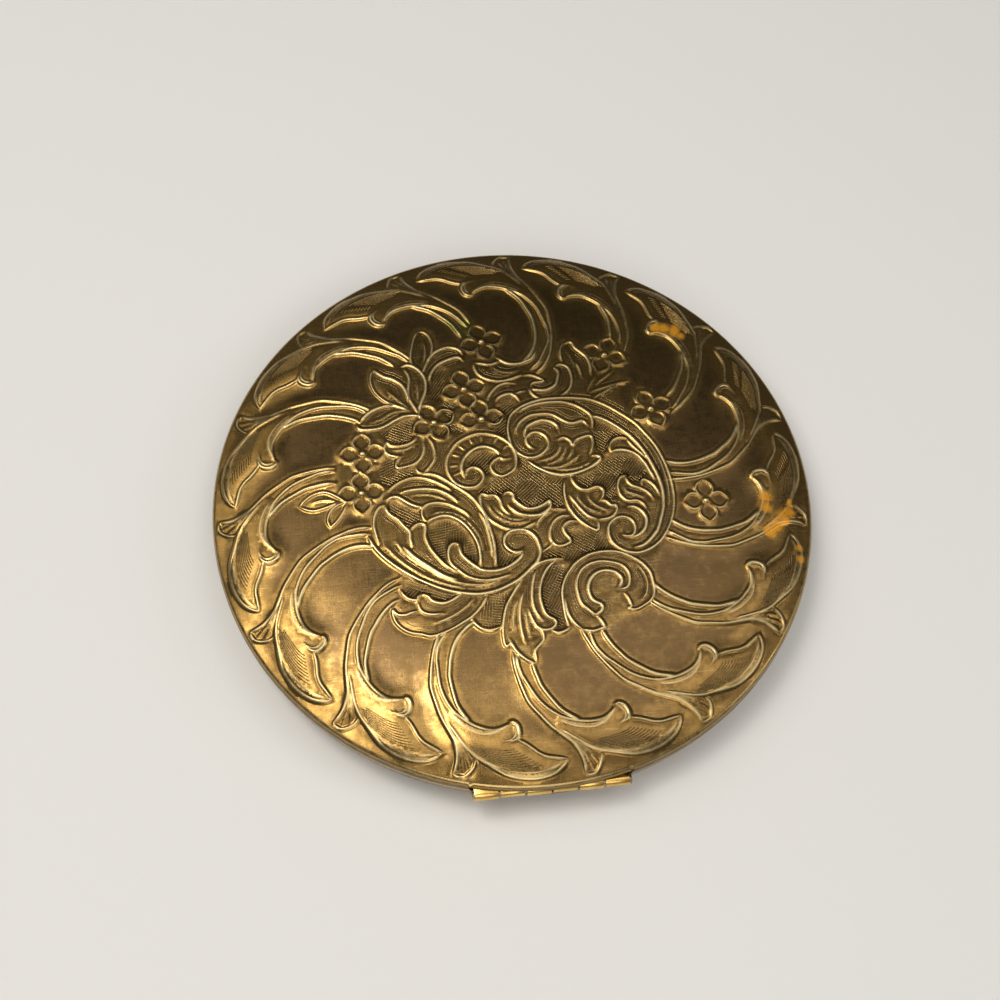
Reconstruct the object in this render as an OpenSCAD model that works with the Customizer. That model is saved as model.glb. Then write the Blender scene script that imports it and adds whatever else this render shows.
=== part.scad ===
/* [Case] */
// Outer diameter of the lid, rim to rim
lid_d = 101.6; // [84:0.1:124]
// Height of the base, from the surface it rests on to the plane where lid and base part
base_h = 6.9; // [5.7:0.1:8.3]
// Height of the lid's rim circle above the parting plane
lid_rim_h = 2.0; // [1.7:0.1:2.4]
// Rise of the lid's dome above its rim circle
dome_rise = 3.4; // [2.8:0.1:4.1]
// Power of the dome's curve: higher keeps it flatter in the middle
dome_power = 3.68; // [3:0.01:4.5]
// Thickness of the stamped sheet of lid and base
shell_t = 0.5; // [0.4:0.05:0.6]
// Radius of the lid's rolled shoulder
shoulder_r = 0.9; // [0.7:0.05:1.1]
// How far the base's wall stands in from the lid's rim
base_step = 0.3; // [0.2:0.05:0.4]
// Height of the base's straight wall above its rounded lower corner
wall_h = 1.9; // [1.85:0.05:2.3]
// Width of the base's rounded lower corner
corner_w = 10.2; // [8.5:0.1:12]
// Height of the bead along the base's rim
bead_h = 0.7; // [0.5:0.05:0.8]
// How far the bead stands out from the base's wall
bead_out = 0.25; // [0.15:0.05:0.3]

/* [Hinge] */
// Length of the six knuckles together
hinge_w = 24.8; // [20.6:0.1:29.8]
// Outer diameter of a knuckle
knuckle_d = 2.0; // [1.8:0.1:2.2]
// Diameter of the hinge pin
pin_d = 1.0; // [0.8:0.05:1.1]
// How far the hinge axis lies in from the lid's rim
hinge_inset = 0.8; // [0.7:0.05:0.95]
// Thickness of the hinge's two leaves
leaf_t = 0.4; // [0.3:0.05:0.5]
// Distance from the hinge axis to the near face of the leaves
leaf_reach = 1.2; // [1.1:0.05:1.3]
// Height of the lid's hinge leaf above the underside of its web
lid_leaf_h = 1.0; // [0.8:0.05:1.1]
// Depth of the base's hinge leaf below the top of its web
base_leaf_h = 1.2; // [1:0.05:1.25]
// Thickness of the pin's peened heads
pin_head_t = 0.3; // [0.2:0.05:0.4]
// Diameter of the pin's peened heads
pin_head_d = 1.6; // [1.4:0.1:1.8]

/* [Mirror] */
// Distance from the lid's rim to the mirror's edge
mirror_inset = 9.8; // [8.2:0.1:11.8]
// Thickness of the mirror glass
mirror_t = 1.1; // [0.9:0.05:1.3]
// Width of the bevel ground along the mirror's edge
mirror_bevel = 2.6; // [2:0.1:3.2]
// Depth of that bevel at the edge
mirror_bevel_t = 0.3; // [0.2:0.05:0.4]
// Thickness of the bezel ring that holds the mirror
bezel_t = 0.4; // [0.3:0.05:0.5]
// How far the bezel laps over the mirror's edge
bezel_lap = 1.0; // [0.8:0.05:1.2]
// Thickness of the card pad behind the mirror
card_t = 1.0; // [0.8:0.05:1.1]
// Distance from the mirror's edge to the card's edge
card_inset = 11.0; // [9:0.1:13]

/* [Deck and well] */
// Distance from the parting plane down to the deck
deck_drop = 0.6; // [0.5:0.05:0.7]
// Thickness of the deck and of the well's sheet
deck_t = 0.4; // [0.3:0.05:0.5]
// How far the deck's collar rises above the parting plane
collar_rise = 0.5; // [0.4:0.05:0.6]
// Distance from the base's wall to the outside of the well
well_inset = 9.5; // [7.9:0.1:11.4]
// Gap between the base's floor and the well's floor
well_gap = 0.3; // [0.2:0.05:0.4]
// Width of the ledge that carries the sifter
ledge_w = 0.8; // [0.6:0.05:1]
// Depth of the ledge's top below the deck
ledge_drop = 1.7; // [1.5:0.05:1.9]

/* [Sifter and puff] */
// Height of the sifter's outer ring
sifter_h = 1.2; // [1:0.05:1.4]
// Thickness of the sifter rings' walls
sifter_t = 0.4; // [0.3:0.05:0.5]
// Width of the flange that the gauze lies on
sifter_flange = 1.3; // [1.1:0.05:1.5]
// Thickness of the silk gauze
gauze_t = 0.15; // [0.1:0.01:0.2]
// Height of the hoop that clamps the gauze
hoop_h = 0.5; // [0.4:0.05:0.6]
// Thickness of the puff's velour pad at its middle
puff_t = 2.5; // [2.1:0.05:2.8]
// Rise of the puff's crown over its side
puff_crown = 0.7; // [0.5:0.05:0.9]
// Thickness of the puff's satin cover
cover_t = 0.25; // [0.2:0.05:0.3]
// Width of the puff's ribbon
ribbon_w = 12.0; // [10:0.5:14.5]
// Thickness of the puff's ribbon
ribbon_t = 0.15; // [0.1:0.01:0.2]
// Gap between the puff's edge and the sifter's hoop
puff_gap = 0.8; // [0.6:0.05:1]

/* [Catch] */
// Width of the push piece
button_w = 8.0; // [6.7:0.1:9.6]
// Height of the push piece
button_h = 1.6; // [1.4:0.05:1.7]
// Thickness of the push piece outside the wall
button_t = 0.9; // [0.7:0.05:1.1]
// Travel of the push piece
button_travel = 0.6; // [0.5:0.05:0.7]
// Thickness of the push piece's flange inside the wall
flange_t = 0.35; // [0.3:0.05:0.4]
// Width of the lid's catch tongue
tongue_w = 4.4; // [3.7:0.1:4.8]
// Thickness of the catch tongue and of the bracket
tongue_t = 0.35; // [0.3:0.05:0.4]
// How far the tongue's nib reaches under the deck
nib_grip = 0.2; // [0.15:0.05:0.25]
// Thickness of the bow spring
spring_t = 0.2; // [0.15:0.01:0.25]
// Height of the bow spring
spring_h = 1.0; // [0.8:0.05:1.1]

/* [Hidden] */
$fn = 96;

// Gap between pieces that touch or are pressed together
seat_gap = 0.05;
// Gap round the pin in the knuckles that grip it
press_gap = 0.01;
// Gap between pieces that move past each other
run_gap = 0.1;
// Gap between the catch tongue's nib and the pieces round it
nib_gap = 0.15;
// Gap round pieces that swing past others
swing_gap = 0.2;
// Gap between a loose piece and the wall round it
loose_gap = 0.3;
// Gap under and over the puff
soft_gap = 0.3;
// How far every cut runs past what it cuts
overrun = 0.5;
// Points along a curved outline
curve_steps = 24;
// Number of knuckles, lid and base in turn
knuckle_count = 6;
// Share of the bead's height that each of its slopes takes
bead_slope_share = 0.3;
// Share of the push piece's height that the catch tongue reaches down beside it
tongue_reach_share = 0.7;
// Width of the push piece's neck as a share of its head
neck_share = 0.75;
// Height left off the neck above and below as a share of the head
neck_inset_share = 0.125;
// Width of the bracket as a share of the push piece
bracket_share = 1.15;
// Half width of the bow spring's flat as a share of the push piece
spring_flat_share = 0.2;
// Gap between the catch tongue and the bracket behind it
bracket_gap = 0.7;

lid_r = lid_d / 2;
lid_in_r = lid_r - shell_t;
rim_z = base_h + lid_rim_h;
dome_slope = atan(dome_rise * dome_power / lid_r);
shoulder_start_r = lid_r - shoulder_r * (1 - sin(dome_slope));
shoulder_z = dome_z(shoulder_start_r) - shoulder_r * cos(dome_slope);
lid_edge_z = base_h + seat_gap;

base_r = lid_r - base_step;
base_in_r = base_r - shell_t;
base_flat_r = base_r - corner_w;
corner_h = base_h - wall_h;

hinge_y = hinge_inset - lid_r;
hinge_z = base_h - seat_gap;
knuckle_r = knuckle_d / 2;
pin_r = pin_d / 2;
knuckle_l = hinge_w / knuckle_count;
leaf_y = hinge_y + leaf_reach;
web_t = leaf_t;
lid_web_z = hinge_z + knuckle_r - web_t - seat_gap;
base_web_z = hinge_z - knuckle_r + seat_gap;
notch_half_w = hinge_w / 2 + pin_head_t + run_gap;
notch_y = leaf_y + run_gap + leaf_t;
notch_drop = knuckle_r + run_gap;
notch_rise = knuckle_r + swing_gap;

mirror_r = lid_r - mirror_inset;
mirror_top_z = dome_in_z(mirror_r) - seat_gap;
mirror_face_z = mirror_top_z - mirror_t;
bezel_top_z = mirror_face_z - seat_gap;
bezel_r = dome_in_radius(bezel_top_z + seat_gap);
card_r = mirror_r - card_inset;

deck_z = base_h - deck_drop;
deck_under_z = deck_z - deck_t;
collar_r = base_in_r - seat_gap;
collar_in_r = collar_r - deck_t;
well_r = base_r - well_inset;
well_in_r = well_r - deck_t;
well_floor_z = shell_t + well_gap;
ledge_top_z = deck_z - ledge_drop;

sifter_r = well_in_r - loose_gap;
sifter_z = ledge_top_z + seat_gap;
gauze_r = sifter_r - sifter_t - seat_gap;
gauze_z = sifter_z + sifter_t + seat_gap;
hoop_z = gauze_z + gauze_t + seat_gap;
hoop_in_r = gauze_r - sifter_flange + sifter_t;
puff_r = hoop_in_r - puff_gap;
puff_z = gauze_z + gauze_t + soft_gap;
puff_side_h = puff_t - puff_crown;
puff_round = puff_side_h / 2;
cover_r = puff_r - puff_round;

button_z = deck_under_z - run_gap - button_h;
flange_y = sqrt(pow(base_in_radius(button_z), 2) - pow(button_w / 2, 2)) - flange_t - seat_gap;
nib_y = flange_y - nib_gap;
nib_top_z = deck_under_z - nib_gap;
nib_h = tongue_t + run_gap;
slot_y = nib_y - nib_grip;
tongue_y = slot_y - seat_gap - tongue_t;
tongue_top_z = dome_in_z(tongue_y + tongue_t) - 2 * seat_gap;
tongue_end_z = deck_under_z - button_h * tongue_reach_share;
neck_w = button_w * neck_share;
neck_inset = button_h * neck_inset_share;
head_y = base_r + button_travel + run_gap;
bracket_z = button_z - tongue_t;
bracket_y = tongue_y - bracket_gap - tongue_t;
bracket_w = button_w * bracket_share;
spring_half_w = button_w / 2;
spring_flat = button_w * spring_flat_share;

// Height of the lid's outer face over its rim circle, and of its inner face
function dome_z(r) = rim_z + dome_rise * (1 - pow(r / lid_r, dome_power));
function dome_in_z(r) = rim_z - shell_t + dome_rise * (1 - pow(r / lid_in_r, dome_power));
// Radius at which the lid's inner face is at a given height
function dome_in_radius(z) = lid_in_r * pow(1 - (z - rim_z + shell_t) / dome_rise, 1 / dome_power);
// Inner radius of the base at a given height
function base_in_radius(z) =
    base_flat_r + (corner_w - shell_t) * sqrt(1 - pow(max(corner_h - z, 0) / (corner_h - shell_t), 2));
// Height of the puff pad's crown at a given radius
function crown_z(r) = puff_z + puff_t - puff_crown * pow(r / puff_r, 2);
// Points of the base's rounded corner, from the floor up to the wall
function corner_points(flat_r, w, h, top) =
    [for (i = [0:curve_steps]) [flat_r + w * sin(90 * i / curve_steps), top - h * cos(90 * i / curve_steps)]];

module ring_cut_box(x, y_near, y_far, z_low, z_high) {
    translate([-x, y_near, z_low])
        cube([2 * x, y_far - y_near, z_high - z_low]);
}

// Domed lid: one sheet with a rolled shoulder and a short side band, cut away over the hinge
module lid_shell() {
    outer = concat(
        [for (i = [0:curve_steps])
            let(r = shoulder_start_r * i / curve_steps) [r, dome_z(r)]],
        [for (i = [1:curve_steps / 2])
            let(a = (90 - dome_slope) * (1 - 2 * i / curve_steps))
                [lid_r - shoulder_r + shoulder_r * cos(a), shoulder_z + shoulder_r * sin(a)]],
        [[lid_r, lid_edge_z]]
    );
    inner = concat(
        [[lid_in_r, lid_edge_z]],
        [for (i = [curve_steps:-1:0])
            let(r = lid_in_r * i / curve_steps) [r, dome_in_z(r)]]
    );
    color("darkgoldenrod")
        difference() {
            rotate_extrude()
                polygon(concat(outer, inner));
            ring_cut_box(notch_half_w, -lid_r - overrun, notch_y, 0, hinge_z + notch_rise);
        }
}

// Card pad that presses the mirror forward from behind
module mirror_backing() {
    color("tan")
        translate([0, 0, mirror_top_z + seat_gap])
            cylinder(r = card_r, h = card_t);
}

// Round mirror with a bevel ground along its edge, face down in the closed lid
module mirror_glass() {
    color("lightblue")
        rotate_extrude()
            polygon([
                [0, mirror_face_z],
                [mirror_r - mirror_bevel, mirror_face_z],
                [mirror_r, mirror_face_z + mirror_bevel_t],
                [mirror_r, mirror_top_z],
                [0, mirror_top_z]
            ]);
}

// Flat ring that laps over the mirror's edge and seats in the lid
module mirror_bezel() {
    color("gold")
        difference() {
            translate([0, 0, bezel_top_z - bezel_t])
                cylinder(r = bezel_r, h = bezel_t);
            translate([0, 0, bezel_top_z - bezel_t - overrun])
                cylinder(r = mirror_r - bezel_lap, h = bezel_t + 2 * overrun);
        }
}

// Spring tongue soldered in the lid's front, with the nib that catches under the deck
module catch_tongue() {
    color("peru") {
        translate([-tongue_w / 2, tongue_y, tongue_end_z])
            cube([tongue_w, tongue_t, tongue_top_z - tongue_end_z]);
        translate([-tongue_w / 2, tongue_y, nib_top_z - nib_h])
            cube([tongue_w, nib_y - tongue_y, nib_h]);
    }
}

// One knuckle of the hinge with the web that joins it to its leaf
module knuckle(index, bore_r, web_z) {
    x = -hinge_w / 2 + index * knuckle_l;
    difference() {
        union() {
            translate([x + seat_gap, hinge_y, hinge_z])
                rotate([0, 90, 0])
                    cylinder(r = knuckle_r, h = knuckle_l - 2 * seat_gap);
            translate([x + seat_gap, hinge_y, web_z])
                cube([knuckle_l - 2 * seat_gap, leaf_reach + leaf_t, web_t]);
        }
        translate([x - overrun, hinge_y, hinge_z])
            rotate([0, 90, 0])
                cylinder(r = bore_r, h = knuckle_l + 2 * overrun);
    }
}

// Leaf in the lid, with the first, third and fifth knuckles
module lid_hinge_leaf() {
    half_w = sqrt(pow(lid_in_r, 2) - pow(leaf_y, 2)) - run_gap;
    color("khaki")
        union() {
            for (i = [0:2:knuckle_count - 1])
                knuckle(i, pin_r + seat_gap, lid_web_z);
            translate([-half_w, leaf_y, lid_web_z])
                cube([2 * half_w, leaf_t, lid_leaf_h]);
        }
}

// Leaf in the base, with the second, fourth and sixth knuckles
module base_hinge_leaf() {
    half_w = sqrt(pow(base_in_r, 2) - pow(leaf_y, 2)) - loose_gap;
    color("khaki")
        union() {
            for (i = [1:2:knuckle_count - 1])
                knuckle(i, pin_r + press_gap, base_web_z);
            translate([-half_w, leaf_y, base_web_z + web_t - base_leaf_h])
                cube([2 * half_w, leaf_t, base_leaf_h]);
        }
}

// Pin through all six knuckles, with a peened head at each end
module hinge_pin() {
    color("silver")
        translate([-hinge_w / 2, hinge_y, hinge_z])
            rotate([0, 90, 0])
                union() {
                    translate([0, 0, -pin_head_t / 2])
                        cylinder(r = pin_r, h = hinge_w + pin_head_t);
                    translate([0, 0, -pin_head_t])
                        cylinder(d = pin_head_d, h = pin_head_t);
                    translate([0, 0, hinge_w])
                        cylinder(d = pin_head_d, h = pin_head_t);
                }
}

// Lower pan: flat floor, rounded corner, short wall and a beaded rim, cut away at hinge and latch
module base_shell() {
    inner_corner = corner_points(base_flat_r, corner_w - shell_t, corner_h - shell_t, corner_h);
    profile = concat(
        [[0, 0]],
        corner_points(base_flat_r, corner_w, corner_h, corner_h),
        [
            [base_r, base_h - bead_h],
            [base_r + bead_out, base_h - bead_h * (1 - bead_slope_share)],
            [base_r + bead_out, base_h - bead_h * bead_slope_share],
            [base_r, base_h],
            [base_in_r, base_h]
        ],
        [for (i = [curve_steps:-1:0]) inner_corner[i]],
        [[0, shell_t]]
    );
    color("darkgoldenrod")
        difference() {
            rotate_extrude()
                polygon(profile);
            ring_cut_box(notch_half_w, -lid_r - overrun, notch_y, hinge_z - notch_drop, base_h + overrun);
            translate([-neck_w / 2 - run_gap, 0, button_z + neck_inset - run_gap])
                cube([neck_w + 2 * run_gap, lid_r, button_h - 2 * neck_inset + 2 * run_gap]);
        }
}

// Deck ring with the collar that the lid closes round, notched for hinge and catch tongue
module deck_frame() {
    color("gold")
        difference() {
            union() {
                difference() {
                    translate([0, 0, deck_under_z])
                        cylinder(r = collar_r, h = deck_t);
                    translate([0, 0, deck_under_z - overrun])
                        cylinder(r = well_in_r, h = deck_t + 2 * overrun);
                }
                difference() {
                    translate([0, 0, deck_under_z])
                        cylinder(r = collar_r, h = deck_t + deck_drop + collar_rise);
                    translate([0, 0, deck_under_z - overrun])
                        cylinder(r = collar_in_r, h = deck_t + deck_drop + collar_rise + 2 * overrun);
                }
            }
            ring_cut_box(notch_half_w, -lid_r, notch_y, deck_under_z - overrun, rim_z);
            ring_cut_box(notch_half_w, -lid_r, leaf_y + leaf_reach + leaf_t, deck_z, rim_z);
            translate([-tongue_w / 2 - swing_gap, tongue_y - swing_gap, deck_under_z - overrun])
                cube([tongue_w + 2 * swing_gap, slot_y - tongue_y + swing_gap, rim_z]);
        }
}

// Drawn cup for the powder, with the ledge that carries the sifter
module powder_well() {
    color("goldenrod")
        rotate_extrude()
            polygon([
                [0, well_floor_z],
                [well_r - deck_t, well_floor_z],
                [well_r, well_floor_z + deck_t],
                [well_r, deck_under_z - seat_gap],
                [well_in_r, deck_under_z - seat_gap],
                [well_in_r, ledge_top_z],
                [well_in_r - ledge_w, ledge_top_z],
                [well_in_r - ledge_w, ledge_top_z - deck_t],
                [well_in_r, ledge_top_z - 2 * deck_t],
                [well_in_r, well_floor_z + deck_t],
                [0, well_floor_z + deck_t]
            ]);
}

// Face powder, filled to just under the ledge
module powder_fill() {
    color("bisque")
        translate([0, 0, well_floor_z + deck_t + seat_gap])
            cylinder(
                r = well_in_r - seat_gap,
                h = ledge_top_z - 3 * deck_t - well_floor_z - 2 * seat_gap
            );
}

// Outer ring of the sifter, with the flange that the gauze lies on
module sifter_ring() {
    color("gold")
        rotate_extrude()
            polygon([
                [sifter_r - sifter_flange, sifter_z],
                [sifter_r, sifter_z],
                [sifter_r, sifter_z + sifter_h],
                [sifter_r - sifter_t, sifter_z + sifter_h],
                [sifter_r - sifter_t, sifter_z + sifter_t],
                [sifter_r - sifter_flange, sifter_z + sifter_t]
            ]);
}

// Silk gauze stretched across the sifter
module sifter_gauze() {
    color("lightyellow")
        translate([0, 0, gauze_z])
            cylinder(r = gauze_r, h = gauze_t);
}

// Hoop pressed in on top of the gauze
module sifter_hoop() {
    color("gold")
        difference() {
            translate([0, 0, hoop_z])
                cylinder(r = gauze_r, h = hoop_h);
            translate([0, 0, hoop_z - overrun])
                cylinder(r = hoop_in_r, h = hoop_h + 2 * overrun);
        }
}

// Velour pad of the puff: flat below, round at the side and crowned on top
module puff_pad() {
    side = [for (i = [0:curve_steps / 2])
        let(a = -90 + 360 * i / curve_steps)
            [puff_r - puff_round + puff_round * cos(a), puff_z + puff_round + puff_round * sin(a)]];
    top = [for (i = [curve_steps:-1:0])
        let(r = cover_r * i / curve_steps) [r, crown_z(r)]];
    color("pink")
        rotate_extrude()
            polygon(concat([[0, puff_z]], side, top));
}

// Satin cover that follows the pad's crown
module puff_cover() {
    rows = [for (i = [0:curve_steps]) cover_r * i / curve_steps];
    color("mistyrose")
        rotate_extrude()
            polygon(concat(
                [for (r = rows) [r, crown_z(r) + seat_gap]],
                [for (i = [curve_steps:-1:0]) [rows[i], crown_z(rows[i]) + seat_gap + cover_t]]
            ));
}

// Ribbon across the cover, which the fingers slip under
module puff_ribbon() {
    low = 2 * seat_gap + cover_t;
    rows = [for (i = [-curve_steps:curve_steps]) sqrt(pow(cover_r, 2) - pow(ribbon_w / 2, 2)) * i / curve_steps];
    color("lightpink")
        translate([0, ribbon_w / 2, 0])
            rotate([90, 0, 0])
                linear_extrude(ribbon_w)
                    polygon(concat(
                        [for (x = rows) [x, crown_z(x) + low]],
                        [for (i = [2 * curve_steps:-1:0]) [rows[i], crown_z(rows[i]) + low + ribbon_t]]
                    ));
}

// Bracket inside the base's front wall that carries the bow spring
module latch_bracket() {
    color("silver")
        intersection() {
            union() {
                translate([-bracket_w / 2, bracket_y, bracket_z])
                    cube([bracket_w, lid_r, tongue_t - seat_gap]);
                translate([-bracket_w / 2, bracket_y, bracket_z])
                    cube([bracket_w, tongue_t, button_h + tongue_t - run_gap]);
            }
            cylinder(r = base_in_radius(bracket_z) - seat_gap, h = rim_z);
        }
}

// Bow spring between the bracket and the push piece's flange
module latch_spring() {
    near = bracket_y + tongue_t + seat_gap;
    far = flange_y - seat_gap - spring_t;
    color("gray")
        translate([0, 0, button_z + (button_h - spring_h) / 2])
            linear_extrude(spring_h)
                polygon([
                    [-spring_half_w, far + spring_t],
                    [-spring_half_w, far],
                    [-spring_flat, near],
                    [spring_flat, near],
                    [spring_half_w, far],
                    [spring_half_w, far + spring_t],
                    [spring_half_w - spring_t, far + spring_t],
                    [spring_flat - spring_t / 2, near + spring_t],
                    [-spring_flat + spring_t / 2, near + spring_t],
                    [-spring_half_w + spring_t, far + spring_t]
                ]);
}

// Push piece: a rounded thumb bar outside the wall, a neck through it and a flange inside
module latch_button() {
    end_r = button_t;
    color("gold")
        union() {
            translate([0, 0, button_z])
                intersection() {
                    translate([-button_w / 2, head_y, 0])
                        cube([button_w, button_t, button_h]);
                    union() {
                        translate([-button_w / 2 + end_r, head_y - overrun, 0])
                            cube([button_w - 2 * end_r, button_t + 2 * overrun, button_h]);
                        for (side = [-1, 1])
                            translate([side * (button_w / 2 - end_r), head_y, 0])
                                cylinder(r = end_r, h = button_h);
                    }
                }
            translate([-neck_w / 2, flange_y, button_z + neck_inset])
                cube([neck_w, head_y + button_t / 2 - flange_y, button_h - 2 * neck_inset]);
            translate([-button_w / 2, flange_y, button_z + neck_inset / 2])
                cube([button_w, flange_t, button_h - neck_inset]);
        }
}

lid_shell();
mirror_backing();
mirror_glass();
mirror_bezel();
catch_tongue();
lid_hinge_leaf();
base_shell();
deck_frame();
powder_well();
powder_fill();
sifter_ring();
sifter_gauze();
sifter_hoop();
puff_pad();
puff_cover();
puff_ribbon();
base_hinge_leaf();
hinge_pin();
latch_bracket();
latch_spring();
latch_button();
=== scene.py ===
# %% [markdown]
# This scene dresses a round brass powder compact with a mirror in its lid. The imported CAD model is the
# fixed frame: each piece made here lies where its CAD node lies, and rides on the same body.
# Lengths are written in millimetres and turned into metres when a mesh is made.

# %% Load the frame
import math
import bmesh
import bpy
import numpy as np
from mathutils import Matrix, Vector
from mathutils.geometry import delaunay_2d_cdt


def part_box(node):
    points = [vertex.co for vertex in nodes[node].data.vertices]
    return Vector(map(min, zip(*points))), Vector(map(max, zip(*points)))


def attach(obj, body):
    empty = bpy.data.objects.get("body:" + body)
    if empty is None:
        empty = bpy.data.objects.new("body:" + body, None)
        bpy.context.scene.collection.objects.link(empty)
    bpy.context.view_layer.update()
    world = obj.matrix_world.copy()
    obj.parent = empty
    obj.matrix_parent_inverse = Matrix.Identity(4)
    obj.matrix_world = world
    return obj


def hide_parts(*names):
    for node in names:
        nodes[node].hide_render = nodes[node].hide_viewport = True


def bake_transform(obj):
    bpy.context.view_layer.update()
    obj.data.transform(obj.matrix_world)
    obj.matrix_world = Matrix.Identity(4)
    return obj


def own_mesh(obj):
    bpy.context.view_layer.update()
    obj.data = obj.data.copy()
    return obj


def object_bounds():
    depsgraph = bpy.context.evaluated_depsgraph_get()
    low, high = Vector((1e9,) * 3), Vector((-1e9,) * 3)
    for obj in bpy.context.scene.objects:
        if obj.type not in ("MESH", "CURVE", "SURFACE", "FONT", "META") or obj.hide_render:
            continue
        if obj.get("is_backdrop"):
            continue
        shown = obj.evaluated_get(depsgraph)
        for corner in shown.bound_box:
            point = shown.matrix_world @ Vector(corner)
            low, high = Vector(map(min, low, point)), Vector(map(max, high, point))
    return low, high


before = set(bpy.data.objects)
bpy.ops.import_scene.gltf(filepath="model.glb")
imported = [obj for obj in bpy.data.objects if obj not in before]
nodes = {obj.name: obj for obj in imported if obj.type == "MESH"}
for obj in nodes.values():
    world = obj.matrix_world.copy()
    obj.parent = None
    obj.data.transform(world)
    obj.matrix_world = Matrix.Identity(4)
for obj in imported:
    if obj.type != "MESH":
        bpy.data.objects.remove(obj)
cad_box = [list(corner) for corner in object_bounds()]
MM = 0.001
LID_R = 50.8
MIRROR_R = 41.0
print("CAD box in mm", [[round(value / MM, 2) for value in corner] for corner in cad_box])


def added(name, data):
    """A new object in the scene."""
    obj = bpy.data.objects.new(name, data)
    bpy.context.scene.collection.objects.link(obj)
    return obj


def on_circle(radius, degrees):
    angle = math.radians(degrees)
    return radius * math.cos(angle), radius * math.sin(angle)


# %% [markdown]
# The photograph looks down on the closed case from the hinge side. A camera is a place and a turn:
# here the turn is built from three plain angles, because they say what a photographer did.

# %% Camera
CAMERA_TILT = 27.31
CAMERA_ROLL = 4.23
CASE_TURN = 10.4
CAMERA_PLACE = (-23.48, -115.01, 234.80)
CAMERA_LENS = 53.99
SENSOR_WIDTH = 36

camera_data = bpy.data.cameras.new("photo_camera")
camera_data.sensor_width = SENSOR_WIDTH
camera_data.lens = CAMERA_LENS
camera_data.clip_start = 0.01
camera = added("photo_camera", camera_data)
turn = (
    Matrix.Rotation(math.radians(-CASE_TURN), 4, "Z")
    @ Matrix.Rotation(math.radians(CAMERA_TILT), 4, "X")
    @ Matrix.Rotation(math.radians(CAMERA_ROLL), 4, "Z")
)
camera.matrix_world = Matrix.Translation(Vector(CAMERA_PLACE) * MM) @ turn
bpy.context.scene.camera = camera
bpy.context.scene.view_settings.view_transform = "Standard"
print("camera looks down at", round(90 - CAMERA_TILT, 1), "degrees")

# %% [markdown]
# A shader tree is easier to read as sums than as boxes and wires. A Wire stands for one output socket,
# and arithmetic on it adds Math nodes. Finish.node adds any other node: its type, its settings, and the
# values or wires that its sockets take.

# %% Tree helpers
class Wire:
    def __init__(self, owner, socket):
        self.owner = owner
        self.socket = socket

    def math(self, operation, *terms):
        return self.owner.node("ShaderNodeMath", {"operation": operation}, dict(enumerate(terms)))

    def __add__(self, other):
        return self.math("ADD", self, other)

    def __radd__(self, other):
        return self.math("ADD", other, self)

    def __sub__(self, other):
        return self.math("SUBTRACT", self, other)

    def __rsub__(self, other):
        return self.math("SUBTRACT", other, self)

    def __mul__(self, other):
        return self.math("MULTIPLY", self, other)


class Tree:
    """A node tree and the one method that adds nodes to it."""

    def __init__(self, tree):
        self.tree = tree

    def put(self, socket, value):
        if isinstance(value, Wire):
            self.tree.links.new(value.socket, socket)
        else:
            socket.default_value = value

    def node(self, kind, settings=None, sockets=None, output=0):
        made = self.tree.nodes.new(kind)
        for name, value in (settings or {}).items():
            setattr(made, name, value)
        for name, value in (sockets or {}).items():
            self.put(made.inputs[name], value)
        return Wire(self, made.outputs[output])


class Finish(Tree):
    """A material with one Principled shader."""

    def __init__(self, name, **constants):
        self.material = bpy.data.materials.new(name)
        self.material.use_nodes = True
        super().__init__(self.material.node_tree)
        self.tree.nodes.clear()
        self.shader = self.tree.nodes.new("ShaderNodeBsdfPrincipled")
        output = self.tree.nodes.new("ShaderNodeOutputMaterial")
        self.tree.links.new(self.shader.outputs[0], output.inputs["Surface"])
        self.set(**constants)

    def set(self, **sockets):
        for name, value in sockets.items():
            self.put(self.shader.inputs[name.replace("_", " ")], value)

    def place(self, scale=(1, 1, 1), turn=(0, 0, 0), shift=(0, 0, 0)):
        """Where a point of the surface is, in the object's own metres, stretched, turned and shifted."""
        here = self.node("ShaderNodeTexCoord", output="Object")
        sockets = {"Vector": here, "Scale": scale, "Rotation": turn, "Location": shift}
        return self.node("ShaderNodeMapping", None, sockets)

    def measure(self, operation, *vectors):
        """The LENGTH of a vector, or the DISTANCE or DOT_PRODUCT of two."""
        return self.node("ShaderNodeVectorMath", {"operation": operation}, dict(enumerate(vectors)), "Value")

    def noise(self, vector, scale, detail=4.0, roughness=0.5, distortion=0.0):
        sockets = {"Vector": vector, "Scale": scale, "Detail": detail, "Roughness": roughness}
        return self.node("ShaderNodeTexNoise", None, sockets | {"Distortion": distortion}, "Fac")

    def between(self, value, low, high, to_low=0.0, to_high=1.0):
        """A soft step: to_low where the value is under low, and to_high where it is over high."""
        sockets = {"Value": value, "From Min": low, "From Max": high, "To Min": to_low, "To Max": to_high}
        return self.node("ShaderNodeMapRange", {"interpolation_type": "SMOOTHSTEP"}, sockets)

    def attribute(self, name):
        return self.node("ShaderNodeAttribute", {"attribute_name": name}, None, "Fac")

    def mix(self, factor, first, second):
        settings = {"data_type": "RGBA", "clamp_factor": True}
        return self.node("ShaderNodeMix", settings, {0: factor, 6: first, 7: second}, 2)

    def coated(self, colour, coats):
        """A colour under coats, each (cover from 0 to 1, colour), laid one over the other."""
        for cover, coat in coats:
            colour = self.mix(cover, colour, coat)
        return colour

    def bump(self, height, strength, distance_mm):
        sockets = {"Height": height, "Strength": strength, "Distance": distance_mm * MM}
        return self.node("ShaderNodeBump", None, sockets)


def linear(channel):
    share = channel / 255
    return share / 12.92 if share <= 0.04045 else ((share + 0.055) / 1.055) ** 2.4


def tone(red, green, blue):
    return (linear(red), linear(green), linear(blue), 1.0)


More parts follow.
